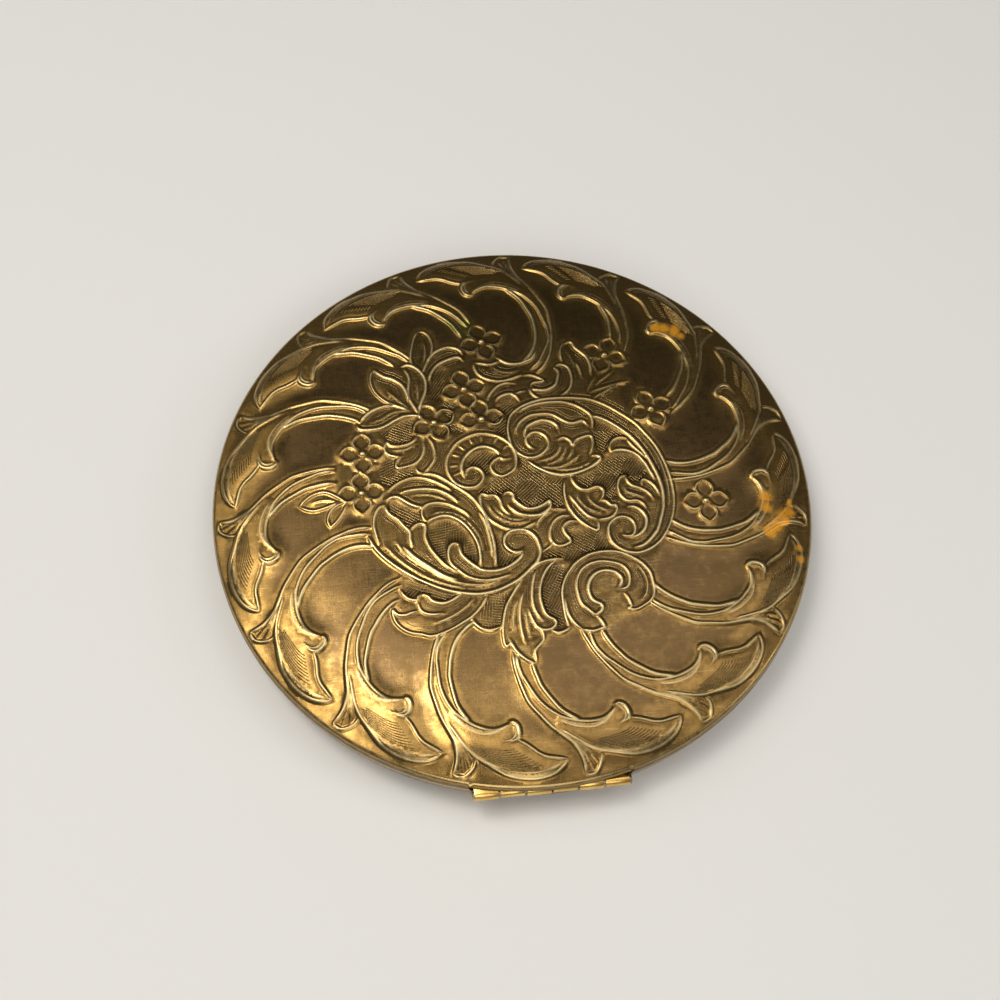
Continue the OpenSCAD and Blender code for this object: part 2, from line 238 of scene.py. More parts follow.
# %% [markdown]
# The floor is plain and pale. The lamps are soft boxes: a metal shows what it mirrors, so the near left
# of the lid is bright because a large box hangs high on the left, and the far right is dark because
# nothing bright is there, and because the brass has painted shade toward the far side.

# %% Floor, world and lamps
FLOOR_HALF = 900.0
FLOOR_TONE = tone(246, 246, 244)

floor_finish = Finish("floor_paper", Roughness=0.9, Base_Color=FLOOR_TONE)
floor_mesh = bpy.data.meshes.new("floor")
corners = [(x * FLOOR_HALF * MM, y * FLOOR_HALF * MM, 0) for x, y in ((-1, -1), (1, -1), (1, 1), (-1, 1))]
floor_mesh.from_pydata(corners, [], [(0, 1, 2, 3)])
floor_mesh.materials.append(floor_finish.material)
floor = added("floor", floor_mesh)
floor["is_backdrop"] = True

WORLD_TONE = (0.93, 0.96, 1.0, 1.0)
WORLD_LEVEL = 0.11
world = bpy.data.worlds.new("studio")
world.use_nodes = True
backdrop = world.node_tree.nodes["Background"].inputs
backdrop["Color"].default_value = WORLD_TONE
backdrop["Strength"].default_value = WORLD_LEVEL
bpy.context.scene.world = world


def lamp(name, toward, distance, size, level, colour):
    """A round soft box, seen from the case in the direction toward; its face has the radiance level."""
    data = bpy.data.lights.new(name, "AREA")
    data.shape = "DISK"
    data.size = size * MM
    data.color = colour
    data.energy = level * math.pi * math.pi * (size * MM / 2) ** 2
    obj = added(name, data)
    direction = Vector(toward).normalized()
    obj.location = direction * distance * MM
    obj.rotation_euler = direction.to_track_quat("Z", "Y").to_euler()
    print(name, "energy", round(data.energy, 3), "W")


lamp("left_box", (-0.37, 0.02, 0.93), 700, 395, 3.8, (1.0, 0.95, 0.87))
lamp("top_box", (0.30, 0.04, 0.95), 820, 560, 1.36, (1.0, 0.96, 0.92))
lamp("glow_box", (-0.28, 0.08, 0.96), 700, 150, 7.8, (1.0, 0.96, 0.90))
lamp("rim_box", (-0.50, 0.37, 0.78), 850, 440, 1.15, (1.0, 0.95, 0.88))
lamp("near_box", (-0.06, -0.74, 0.68), 800, 520, 2.15, (1.0, 0.95, 0.88))
lamp("right_box", (0.80, -0.22, 0.58), 900, 360, 2.05, (1.0, 0.96, 0.92))

# %% [markdown]
# Old brass is several finishes in one, laid as coats. The crests of the stamping are painted pale and
# bright, for rubbing and as a painted highlight; the hollows and creases keep brown tarnish with painted
# shade, and broad clouds of patina lie between. Four attributes on the mesh tell the shader which is which:
# crest, hollows with shade, panel for the plain ground, which gets tarnish and painted shade, and gilt for
# the border. Painted shade darkens the brass toward the far side, it is also darker toward the rim, and
# amber and green residue lies in a few places.

# %% Aged brass
BRASS_MID = tone(190, 152, 88)
BRASS_WARM = tone(216, 168, 94)
PALE_BRASS_WEAR_AND_HIGHLIGHT = tone(250, 228, 170)
TARNISH = tone(128, 102, 56)
MAUVE_TARNISH_AND_SHADE = tone(116, 91, 62)
FAR_SHADE_AND_RIM_DARK = tone(96, 78, 38)
DEEP_TARNISH_AND_SHADE = tone(62, 46, 22)
VERDIGRIS = tone(104, 120, 52)
AMBER = tone(236, 162, 30)


def brass_grain(finish, depth):
    """Fine scratches in two directions and a grain, as a bump."""
    here = finish.place()
    wipe_a = finish.place((1.0, 14.0, 1.0), (0, 0, 0.6))
    wipe_b = finish.place((12.0, 1.0, 1.0), (0, 0, 0.35))
    scratch = finish.noise(wipe_a, 420.0, 3.0, 0.6) + finish.noise(wipe_b, 380.0, 3.0, 0.6)
    grain = finish.noise(here, 5200.0, 2.0, 0.5)
    return finish.bump(scratch * 0.5 + grain * 0.5, depth, 0.05), scratch


def stain(finish, here, middle, reach, ragged, tear):
    """A soft patch about a place in millimetres, torn by a noise as much as tear says."""
    apart = finish.measure("DISTANCE", here, [value * MM for value in middle])
    return finish.between(apart * (1 / (reach * MM)) + (ragged - 0.5) * tear, 0.45, 1.15, 1.0, 0.0)


AMBER_STAINS = [
    ((29.1, 30.4, 10.6), 1.1), ((30.7, 30.1, 10.5), 1.3), ((32.3, 29.4, 10.4), 1.3),
    ((33.2, 28.3, 10.4), 1.0),
    ((42.3, -5.0, 10.5), 1.2), ((41.8, -7.0, 10.5), 1.2),
    ((41.8, -11.5, 10.4), 1.2), ((43.1, -10.4, 10.2), 1.4), ((44.4, -9.1, 10.1), 1.4),
    ((45.6, -8.0, 9.9), 1.2),
    ((45.9, -6.3, 9.9), 0.9), ((46.2, -14.5, 9.4), 0.8), ((46.1, -16.6, 9.3), 0.8),
]
AMBER_SPREAD = 1.2
AMBER_COVER = 0.88
GREEN_STAIN = ((-5.8, 33.6, 11.6), 2.6)
GREEN_COVER = 0.45
FAR_WAY = (0.5, 0.87, 0.0)
FAR_REACH = 45.0
HAIRLINE_TURNS = (0.5, -0.9, 1.7, 2.7)


def aged_brass(name, relief, wear=0.0):
    """Brass with its coats of age and painted shade. With relief it is the lid's, with painted highlight and
    shade from its attributes; wear from 0 to 1 pales it evenly, for rubbing and as a painted highlight.
    """
    finish = Finish(name, Metallic=1.0)
    here = finish.place()
    cloud = finish.noise(here, 46.0, 6.0, 0.66, 0.5)
    mottle = finish.noise(here, 620.0, 4.0, 0.62, 0.2)
    fine = finish.noise(here, 2100.0, 3.0, 0.6)
    normal, scratch = brass_grain(finish, 0.22)
    patina = finish.between(cloud * 0.55 + mottle * 0.45, 0.40, 0.60)
    warm = finish.between(finish.noise(here, 90.0, 3.0, 0.5, 0.8), 0.48, 0.78, 0.0, 0.45)
    toward = finish.measure("DOT_PRODUCT", here, (14.0, -20.0, 0.0))
    dull = finish.between(finish.noise(here, 62.0, 4.0, 0.55, 0.6) + toward * 0.12, 0.42, 0.78, 0.0, 0.65)
    coats = [(patina, TARNISH), (warm, BRASS_WARM), (dull, MAUVE_TARNISH_AND_SHADE)]
    for turn in HAIRLINE_TURNS:
        lane = finish.place((2.0, 52.0, 1.0), (0, 0, turn), (0.01 * turn, 0, 0))
        hairline = finish.noise(lane, 120.0, 1.0, 0.4, 0.15)
        coats.append((finish.between(hairline, 0.70, 0.75, 0.0, 0.3), PALE_BRASS_WEAR_AND_HIGHLIGHT))
    coats.append((finish.between(fine, 0.64, 0.74, 0.0, 0.4), DEEP_TARNISH_AND_SHADE))
    roughness = 0.24 + patina * 0.08 + (mottle - 0.5) * 0.14 + (scratch - 1.0) * 0.12
    if wear:
        coats.append((wear, PALE_BRASS_WEAR_AND_HIGHLIGHT))
    if relief:
        # Crests are painted pale for rubbing and as a painted highlight; hollows, creases and the side band
        # get tarnish with painted shade; the plain panels get tarnish with painted shade.
        crest, hollow_and_shade, panel, gilt = map(finish.attribute, ("crest", "hollow_and_shade", "panel", "gilt"))
        shade = finish.between(panel + (cloud - 0.5) * 1.6 + (mottle - 0.5) * 0.5, 0.40, 1.05, 0.0, 0.76)
        hollow_tarnish_and_shade = finish.between(hollow_and_shade + (mottle - 0.5) * 0.5, 0.08, 0.85, 0.0, 0.8)
        rub_and_highlight = finish.between(crest + (mottle - 0.5) * 0.4, 0.32, 0.92, 0.0, 0.88)
        coats += [(gilt * 0.3, BRASS_WARM), (shade, MAUVE_TARNISH_AND_SHADE)]
        coats += [(hollow_tarnish_and_shade, DEEP_TARNISH_AND_SHADE), (rub_and_highlight, PALE_BRASS_WEAR_AND_HIGHLIGHT)]
        roughness = roughness + hollow_tarnish_and_shade * 0.12 + rub_and_highlight * 0.08
    # Painted shade: darker toward the far side. The brass is also darker toward the rim.
    far_share = finish.measure("DOT_PRODUCT", here, FAR_WAY) * (1 / (FAR_REACH * MM))
    rim_share = finish.measure("LENGTH", here) * (1 / (LID_R * MM))
    far_shade = finish.between(far_share + (cloud - 0.5) * 0.4, 0.05, 1.0, 0.0, 0.58)
    rim_dark = finish.between(rim_share + (cloud - 0.5) * 0.3, 0.50, 1.0, 0.0, 0.34)
    coats.append((far_shade.math("MAXIMUM", far_shade, rim_dark), FAR_SHADE_AND_RIM_DARK))
    if relief:
        residue = 0.0
        ragged = finish.noise(here, 520.0, 3.0, 0.6, 0.6)
        for middle, reach in AMBER_STAINS:
            patch = stain(finish, here, middle, reach * AMBER_SPREAD, ragged, 1.1)
            residue = patch.math("MAXIMUM", patch, residue)
        green = stain(finish, here, *GREEN_STAIN, mottle, 2.6)
        coats += [(residue * AMBER_COVER, AMBER), (green * GREEN_COVER, VERDIGRIS)]
        finish.set(Metallic=1.0 - residue * 0.65)
    finish.set(Base_Color=finish.coated(BRASS_MID, coats), Roughness=roughness, Normal=normal)
    return finish


lid_brass = aged_brass("aged_brass_stamped", True)
# The ribs are painted evenly pale, for rubbing and as a painted highlight.
rib_brass = aged_brass("aged_brass_ribs", False, 0.24)
print("aged brass has", len(lid_brass.tree.nodes), "nodes")


# %% Bright brass, for the hinge and the pieces that hands and cloth keep clean
def bright_brass(name, clean, dull, roughness):
    finish = Finish(name, Metallic=1.0)
    here = finish.place()
    smear = finish.between(finish.noise(here, 180.0, 5.0, 0.6, 0.3), 0.30, 0.80)
    normal, scratch = brass_grain(finish, 0.18)
    finish.set(
        Base_Color=finish.mix(smear, clean, dull),
        Roughness=roughness + smear * 0.14 + (scratch - 1.0) * 0.10,
        Normal=normal,
    )
    return finish


hinge_brass = bright_brass("hinge_brass", tone(250, 214, 130), tone(196, 150, 72), 0.24)
inner_brass = bright_brass("inner_brass", tone(240, 204, 128), tone(212, 168, 92), 0.18)
spring_brass = bright_brass("spring_brass", tone(214, 180, 112), tone(160, 124, 68), 0.34)
pin_steel = bright_brass("pin_steel", tone(196, 184, 160), tone(132, 118, 92), 0.30)


# %% Turned brass, with the fine rings a lathe leaves
def turned_brass(name, clean, dull, roughness, pitch_mm):
    finish = bright_brass(name, clean, dull, roughness)
    phase = finish.measure("LENGTH", finish.place((1, 1, 0))) * (math.tau / (pitch_mm * MM))
    rings = phase.math("SINE", phase)
    finish.set(Normal=finish.bump(rings + finish.noise(finish.place(), 900.0), 0.35, 0.02))
    return finish


deck_brass = turned_brass("deck_brass", tone(240, 204, 132), tone(206, 166, 96), 0.24, 0.42)
print("turned brass has", len(deck_brass.tree.nodes), "nodes")

# %% [markdown]
# Inside the case are glass, card, powder, silk and velour. Cloth is rough and scatters light at a low
# angle, which the sheen sockets give, and its weave is a bump far finer than its folds.

# %% Mirror, card, powder and cloth
mirror_finish = Finish("mirror_silvered", Metallic=1.0, Coat_Weight=0.6, Coat_Roughness=0.02)
from_middle = mirror_finish.measure("LENGTH", mirror_finish.place((1, 1, 0))) * (1 / (MIRROR_R * MM))
speckle = mirror_finish.noise(mirror_finish.place(), 420.0, 5.0, 0.7)
foxing = mirror_finish.between(from_middle + (speckle - 0.5) * 0.5, 0.93, 1.08, 0.0, 0.8)
haze = mirror_finish.noise(mirror_finish.place(), 90.0, 3.0, 0.5)
mirror_finish.set(
    Base_Color=mirror_finish.mix(foxing, tone(238, 241, 241), tone(120, 112, 96)),
    Roughness=0.015 + haze * 0.02 + foxing * 0.35,
)

card_finish = Finish("backing_card", Roughness=0.9)
fibres = card_finish.noise(card_finish.place((1, 6, 1), (0, 0, 0.4)), 600.0, 4.0, 0.6)
card_finish.set(
    Base_Color=card_finish.mix(fibres, tone(196, 178, 140), tone(222, 208, 176)),
    Normal=card_finish.bump(fibres, 0.3, 0.05),
)

powder_finish = Finish("face_powder", Roughness=1.0, Sheen_Weight=0.15)
crumbs = powder_finish.noise(powder_finish.place(), 2600.0, 4.0, 0.7)
drift = powder_finish.noise(powder_finish.place(), 120.0, 3.0, 0.5)
powder_finish.set(
    Base_Color=powder_finish.mix(drift * 0.6 + crumbs * 0.4, tone(214, 172, 140), tone(238, 206, 178)),
    Normal=powder_finish.bump(crumbs, 0.5, 0.12),
)


def cloth(name, light, dark, roughness, sheen, thread_mm, across, nap):
    """Cloth with threads of one width, across times as long as wide, and a nap from 0 to 1."""
    finish = Finish(name, Roughness=roughness, Sheen_Weight=sheen, Sheen_Roughness=0.35)
    threads = finish.noise(finish.place((1, across, 1)), 1 / (thread_mm * MM), 2.0, 0.5)
    fluff = finish.noise(finish.place(), 1 / (0.25 * MM), 4.0, 0.7)
    wear = finish.noise(finish.place(), 90.0, 4.0, 0.6)
    finish.set(
        Base_Color=finish.mix(finish.between(wear * 0.6 + fluff * 0.4, 0.35, 0.65), dark, light),
        Normal=finish.bump(threads * (1 - nap) + fluff * nap, 0.5, 0.06 + 0.1 * nap),
    )
    return finish


velour_finish = cloth("puff_velour", tone(236, 196, 176), tone(208, 156, 138), 0.95, 0.7, 0.3, 1.0, 0.9)
satin_finish = cloth("puff_satin", tone(240, 204, 190), tone(222, 178, 164), 0.34, 0.25, 0.22, 0.12, 0.1)
ribbon_finish = cloth(
    "puff_ribbon_satin", tone(206, 132, 124), tone(176, 100, 94), 0.32, 0.25, 0.18, 8.0, 0.1
)
gauze_finish = cloth("gauze_silk", tone(244, 236, 216), tone(226, 214, 188), 0.6, 0.3, 0.1, 1.0, 0.3)
film_finish = Finish("silk_film", Roughness=0.7, Sheen_Weight=0.2, Alpha=0.45, Base_Color=tone(240, 230, 208))
print("inside materials ready")

# %% [markdown]
# Most pieces are stamped or spun sheet, so their sections go round the middle. A lathe helper turns a
# list of (radius, height) points into a closed ring of faces, and spun also points them outward.

# %% Mesh helpers
def piece(name, points, faces, finish, body, stands_for, slot, sharp=45.0, layers=None, normals=None):
    """One finished mesh, given in millimetres, which stands for its CAD nodes and rides on their body."""
    mesh = bpy.data.meshes.new(name)
    mesh.from_pydata([tuple(value * MM for value in point) for point in points], [], faces)
    mesh.materials.append(finish.material)
    mesh.shade_smooth()
    mesh.set_sharp_from_angle(angle=math.radians(sharp))
    for layer, values in (layers or {}).items():
        mesh.attributes.new(layer, "FLOAT", "POINT").data.foreach_set("value", values)
    mesh.validate()
    if normals is not None:
        mesh.normals_split_custom_set_from_vertices(normals)
    obj = added(name, mesh)
    if stands_for:
        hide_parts(*stands_for)
    if body:
        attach(obj, body)
    print(name, len(mesh.vertices), "points,", sum(len(face) - 2 for face in faces), "triangles")
    return obj


def add_face(faces, *corners):
    """Adds a face, in which corners that fall together count once."""
    face = tuple(dict.fromkeys(corners))
    if len(face) > 2:
        faces.append(face)


def lathe(profile, steps, closed=True):
    """Points and faces of a section turned round Z. Points on the axis become one."""
    points, rows = [], []
    for radius, height in profile:
        if radius < 1e-6:
            rows.append([len(points)] * steps)
            points.append((0.0, 0.0, height))
        else:
            rows.append(list(range(len(points), len(points) + steps)))
            for i in range(steps):
                angle = math.tau * i / steps
                points.append((radius * math.cos(angle), radius * math.sin(angle), height))
    faces = []
    for low, high in zip(rows, rows[1:] + (rows[:1] if closed else [])):
        for i in range(steps):
            j = (i + 1) % steps
            add_face(faces, low[i], low[j], high[j], high[i])
    return points, faces


def outward(points, faces):
    """The same faces, turned so that they point out of the closed body."""
    body = bmesh.new()
    corners = [body.verts.new(point) for point in points]
    for face in faces:
        body.faces.new([corners[i] for i in face])
    bmesh.ops.recalc_face_normals(body, faces=body.faces)
    if body.calc_volume(signed=True) < 0:
        bmesh.ops.reverse_faces(body, faces=body.faces)
    body.verts.index_update()
    turned_faces = [tuple(v.index for v in face.verts) for face in body.faces]
    body.free()
    return turned_faces


def spun(section, steps, closed=True, moved=None):
    """A lathe whose faces point outward, and whose points are moved by a rule if one is given."""
    points, faces = lathe(section, steps, closed)
    if moved:
        points = [moved(*point) for point in points]
    return points, outward(points, faces)


# %% [markdown]
# The lid's ornament is stamped from inside, so it stands out as rounded ridges. A common rococo border
# of curling stems and leaf tips is repeated fifteen times round the rim, and a spray of scrolls, leaves
# and four-petal flowers fills the middle. Each ridge is a stroke through a few listed points in
# millimetres, seen from above with the hinge below.

# %% Stroke helpers
WEIGHTS = {"bold": (0.44, 0.27), "line": (0.35, 0.21), "hair": (0.27, 0.13), "petal": (0.25, 0.16)}
strokes = []


def pen(weight):
    """A pen of one width and height: called with x, y, x, y and so on, it adds a stroke."""
    def draw(*values):
        strokes.append((weight, list(zip(values[::2], values[1::2]))))
    return draw


bold, line, hair = pen("bold"), pen("line"), pen("hair")


def smooth(points, step):
    """A curve through the points, as equally spaced points."""
    p = np.array(points, float)
    if len(p) < 3:
        count = max(2, int(np.hypot(*(p[1] - p[0])) / step) + 1)
        return np.linspace(p[0], p[1], count)
    t = np.concatenate([[0], np.cumsum(np.sqrt(np.hypot(*np.diff(p, axis=0).T)))])
    slope = np.empty_like(p)
    slope[1:-1] = (p[2:] - p[:-2]) / (t[2:] - t[:-2])[:, None]
    slope[0] = 2 * (p[1] - p[0]) / (t[1] - t[0]) - slope[1]
    slope[-1] = 2 * (p[-1] - p[-2]) / (t[-1] - t[-2]) - slope[-2]
    dense = []
    for i in range(len(p) - 1):
        u = np.linspace(0, 1, 13)[:-1, None]
        span = t[i + 1] - t[i]
        dense.append(
            (2 * u**3 - 3 * u**2 + 1) * p[i] + (u**3 - 2 * u**2 + u) * span * slope[i]
            + (3 * u**2 - 2 * u**3) * p[i + 1] + (u**3 - u**2) * span * slope[i + 1]
        )
    dense = np.concatenate(dense + [p[-1:]])
    along = np.concatenate([[0], np.cumsum(np.hypot(*np.diff(dense, axis=0).T))])
    count = max(2, int(round(along[-1] / step)) + 1)
    even = np.linspace(0, along[-1], count)
    return np.stack([np.interp(even, along, dense[:, 0]), np.interp(even, along, dense[:, 1])], 1)


# %% Medallion: leaves and arches at the upper left
line(-21.8, 25.9, -22.45, 24, -22, 21.5, -20.4, 19.3, -18.4, 18, -16.3, 16.9)
bold(-21.8, 25.9, -20.2, 24.3, -18.6, 23.5, -17.2, 22.2, -16.5, 20.6, -16.2, 18.6)
hair(-19.6, 21, -17.45, 18.4, -16.1, 16.9)
bold(-16.8, 26.05, -15.2, 26, -13.8, 24.7, -13, 22.9, -13.1, 20.6, -14, 18.4, -14.7, 16.5)
line(-16.3, 25.2, -15.75, 23.4, -16.1, 20.6, -15.9, 18.8, -14.8, 16.3)
hair(-14.4, 22.2, -14.5, 20, -14.7, 18.4)
line(-13.1, 33.3, -14, 32.2, -14.8, 29.5, -15.1, 27.5, -14.8, 26.1)
line(-13.1, 33.3, -11.7, 32.4, -11.1, 30.2, -11.5, 27.9, -12.45, 26.1, -13.4, 24)
hair(-12.7, 31, -12.45, 28.6, -13.1, 26.1)
bold(-24.8, 15.5, -22.9, 17.3, -20.6, 18.1, -19, 18.1)
bold(-25.4, 15, -25, 14, -22.9, 13.7, -20.9, 14, -18.8, 15.1, -17, 15.75, -14.3, 15.4)
hair(-23, 15.1, -21.1, 15.6, -19, 16.7, -16.1, 16.7)
bold(-12.45, 26.1, -11.5, 27.7, -10.2, 28.7, -8.4, 29.2, -6.8, 28.7, -5.9, 27.5)
bold(-12.2, 22.5, -11.8, 24, -10.6, 25.6, -8.8, 26.5, -7, 26.9, -6.1, 26.3)
line(-15.6, 11.5, -16.5, 10.4, -18.4, 9.95, -20, 10.2, -20.6, 10.9, -21.1, 9.5, -20.4, 8.4, -18.5, 7.9)
line(-18.5, 7.9, -19.3, 6.8, -19.3, 5.75, -17.5, 5.9, -15.9, 6.5, -14.7, 8.1, -14.3, 10.2)
hair(-19.6, 9.3, -17.6, 9.2, -15.8, 10.2)
line(-13.4, 10.9, -12.7, 8.8, -12.9, 6.8, -14, 5.2, -15, 4.3)
line(-16.1, 5.6, -15.9, 4.7, -15, 4.3)
line(-31.1, -4, -31.5, -2.5, -30.6, -0.7, -28.5, 0.3)
line(-31.1, -4, -29.95, -3, -28.8, -1.4, -28.25, 0)
line(-36, 0.5, -34, 2.2, -31.7, 2.6, -29.5, 1.3, -28.3, 0.1)
line(-36, 0.5, -34, -0.6, -31.7, -0.3, -29.2, 0.6)
hair(-34, 0.8, -32, 1.1, -30, 0.7)

# %% Medallion: comb spiral
line(
    -7.9, 3.4, -7.6, 4.2, -6.5, 4.6, -5.4, 4, -4.95, 2.9, -5.4, 1.8, -6.5, 0.9, -8.1, 0.9, -9.7, 1.8,
    -10.5, 3.1, -10.9, 4.7, -10.6, 7, -9.3, 9.05, -7.45, 10.3, -5.2, 11, -2.7, 10.6, -0.9, 9.6, 0.5, 7.9,
    0.95, 5.9, 0.5, 3.8, -0.9, 2.7, -2, 2.45, -3.1, 3.1, -3.6, 4.5, -2.9, 5.5, -1.8, 6, -1.3, 5.6, -0.4, 5.75,
)
bold(-8.25, 3.1, -8.4, 5.2, -7.45, 7, -5.9, 8.1, -4.3, 8.4, -2.7, 7.7, -1.8, 6.8)
COMB_CENTRE = (-4.9, 5.4)
COMB_TEETH = [
    (-9.5, 3.6), (-9.8, 5.2), (-9.3, 7.2), (-8.1, 8.6), (-6.3, 9.7), (-4.5, 10.1), (-2.2, 9.6), (-0.5, 8.1),
]
for x, y in COMB_TEETH:
    reach = math.hypot(x - COMB_CENTRE[0], y - COMB_CENTRE[1])
    ux, uy = (x - COMB_CENTRE[0]) / reach, (y - COMB_CENTRE[1]) / reach
    line(x + 0.35 * ux, y + 0.35 * uy, x - 0.55 * ux, y - 0.55 * uy)

# %% Medallion: the large scroll on the right and the leaves inside it
line(
    4.1, 7.2, 3.2, 8.1, 3.1, 9.4, 4.1, 10.3, 5.5, 10.2, 6.5, 9.3, 6.75, 7.9, 5.95, 6.55, 4.4, 5.6, 2.8, 5.6,
    1.4, 6.55, 0.5, 7.9, 0.27, 9.3, 0.16, 11.5, 0.95, 14.05, 2.5, 15.4, 4.6, 16.3, 7.1, 16.8, 10, 16.8,
    12.8, 16.5, 15.3, 15.9, 17.8, 14.5, 20, 12.7, 21.9, 10.9, 23.5, 8.6, 25, 5.9, 25.95, 2.9, 26.4, 0.4,
    26.6, -2.5, 26.3, -5.5, 25.4, -8.2, 24.1, -10.5, 22.5, -12.3, 20.5, -13.45, 18.45, -13.8, 16.4, -13.1,
    14.9, -11.6, 14.5, -9.8, 14.9, -8.2, 16.2, -7.2, 17.5, -7.1, 18.7, -7.8, 19.1, -8.9, 18.7, -10.3,
    17.8, -10.7, 16.9, -10.3,
)
hair(21.6, 10.3, 23.1, 7.9, 24.4, 5.4, 25.3, 2.6, 25.7, 0, 25.8, -2.6, 25.4, -5.4)
bold(
    14.8, 12.7, 16.9, 11.8, 18.9, 10.2, 20.95, 8.1, 22.5, 5.6, 23.45, 3.4, 24.4, 0.2, 24.8, -2.5, 24.5, -5.5,
    23.7, -7.8, 22.8, -9.8, 21.6, -11.2, 20, -12.5, 18.45, -12.8,
)
line(
    2.5, 14.7, 4.8, 15.75, 7.5, 16.1, 10.3, 15.9, 12.3, 15.1, 13.7, 14.05, 14.8, 12.7, 14.7, 10.6,
)
line(
    1.4, 10.4, 2.1, 12.2, 3.9, 13.6, 5.95, 13.9, 8, 13.6, 9.6, 12.45, 10.5, 11.8, 11.6, 11.55, 12.8, 11.9,
    13.45, 11.7, 13.9, 10.9,
)
bold(2.9, 9.95, 3.45, 11.5, 4.6, 12.2, 6.2, 12.6, 7.8, 12.1, 8.6, 11.3, 8.7, 10.6)
bold(2.8, 4.95, 4.1, 3.6, 6.4, 2.2, 8.7, 1.7, 10.95, 1.9, 13.2, 2.7, 14.8, 3.8, 15.2, 4.5, 13.9, 4.95)
line(
    8.45, 8.6, 9.6, 8.8, 10.5, 8.1, 10.8, 7.2, 11.4, 8.1, 12.5, 8.6, 14.1, 8.8, 14.4, 7.9, 14.1, 6.55,
    13.45, 5.4,
)
hair(8.7, 7.9, 8.3, 6.5, 7.1, 5.3, 4.8, 4.8)
hair(9.6, 7.45, 9.1, 5.9, 7.8, 4.5, 6.2, 4.1)
hair(4.8, 3.7, 8, 3.25, 10.7, 4.5, 11.6, 5.4)
hair(7.5, 2.9, 10.7, 2.7, 13.45, 3.8)
hair(10.6, 7, 10.4, 5.9, 9.4, 4.7)
line(20.3, 7.7, 18.9, 8, 17.7, 7.45, 17.1, 6.3, 17.3, 5.4)
bold(17.3, 5.4, 18.45, 5.6, 19.8, 5.4, 21.4, 4.5, 22.5, 2.9, 23.2, 1.1, 23.8, -0.5)
line(20.3, 7.7, 20.9, 6.4, 21.8, 5.2, 22.9, 3.9)
line(19, 0.6, 18, 0.3, 17.4, -0.95, 17.4, -2.5, 18, -3.7, 18.8, -4.25, 20, -4.25, 20.95, -4.8, 21.5, -5.8)
line(19, 0.6, 19.1, -0.5, 19.8, -1.4, 21.2, -2.1, 22.3, -3, 22.9, -4.1)
line(21.4, -1.2, 21.75, -0.4, 22.8, -0.95, 23.7, -2.1, 24.1, -3.7)
hair(18.3, -1.2, 18.6, -2.4, 19.8, -3, 21.3, -3.7)
bold(18.45, -5.3, 19.6, -5.5, 20.7, -6.4, 21.2, -7.8, 20.7, -9.4, 19.6, -10.5, 18.2, -10.95)

# %% Medallion: small leaves, curl and wave under the comb spiral
line(9.8, 1.3, 10.05, 0, 10.95, -1.2, 12.1, -1.5, 13, -1.2, 13.9, -1.1, 14.7, -1.6, 14.7, -2.5, 14, -3.6)
line(14, -3.6, 15.05, -4, 15.7, -4.8, 16.5, -4.8, 16.5, -5.7, 15.7, -6.75, 14.4, -7.2, 13, -7.1)
line(13, -7.1, 11.6, -6.4, 10.5, -5.05, 9.6, -3.45, 9.1, -2.3)
line(8.6, 0.6, 8.2, -1.4, 8.3, -3.45, 9.1, -5.7, 10.4, -7.5, 11.9, -8.8, 12.8, -9.1, 13.1, -7.2)
hair(10.2, -1.6, 10.4, -3.2, 11.6, -4.9, 13.4, -5.9)
hair(12, -2.2, 12.3, -3.6, 13.4, -4.8, 15, -5.6)
line(
    8.1, -5.95, 6.6, -6.2, 5.5, -7.1, 4.9, -8.45, 4.8, -10, 5.5, -11.2, 6.6, -11.4, 7.8, -10.95, 8, -10.3,
    7.4, -9.4, 7.1, -8.2, 7.8, -7.3, 9.4, -7.1,
)
line(3.3, -12.1, 4.4, -11.4, 4.8, -10.7)
line(5.3, -5.05, 3.7, -5.95, 2.8, -7.3)
line(5.7, -4.5, 7.8, -4.8)
line(
    -1.5, -4.7, -2.45, -3.45, -2.7, -2.1, -3.4, -1.1, -4.7, -0.95, -5.75, -0.6, -6, -2.1, -5.9, -3.2,
    -5.1, -5.05, -3.8, -6.4, -2.2, -7.4, -0.2, -7.8, 1.4, -7.3, 2.8, -6.6,
)
bold(
    -1.8, -0.8, -1.1, -0.7, -0.4, -1.2, -0.4, -2.1, 0.5, -3.2, 1.6, -4, 2.8, -4.1, 3.9, -3.8, 4.9, -3.3,
    5.5, -2.9, 5.6, -3.7, 5.05, -4.6, 3.45, -5.4, 1.4, -5.3, -0.2, -4.6, -1.3, -3.2,
)
hair(-4.8, -2.4, -4.3, -4, -2.8, -5.6, -0.6, -6.5, 1.6, -6.3)
hair(-3.7, -3, -2.9, -4.4, -1.5, -5.6, 0.6, -5.9)

# %% Medallion: the large leaf scroll on the left
line(
    -15, 4.2, -12.7, 3.6, -10.9, 2.2, -9.05, 0.6, -7.45, -0.95, -6.3, -2.8, -5.5, -4.8, -4.95, -7.1,
    -4.6, -9.4, -4.6, -11.6, -4.8, -13.9,
)
line(-6.3, -4.1, -5.6, -6.2, -5.2, -8.9, -5.1, -12.1)
line(-21.1, 1.55, -19.3, 2.9, -17, 3.6, -14.7, 3.25, -12.7, 2.2, -10.7, 0.7)
bold(-19.05, 1, -17.2, 1.3, -15.2, 1.3, -13.1, 0.9, -11.5, 0, -9.8, -1.6)
bold(-21.5, -0.2, -20.6, 0.3, -19.6, 0.2, -18.6, -0.6, -17.2, -1.6, -15.6, -2.1)
hair(-17, 0.3, -15, 0.2, -13, -0.4, -11.2, -1.5)
line(
    -15.4, -4.6, -15.9, -3.7, -15.75, -2.3, -14.7, -1.6, -13.1, -1.5, -11.5, -1.9, -10, -2.8, -8.8, -3.7,
    -8.1, -4.6,
)
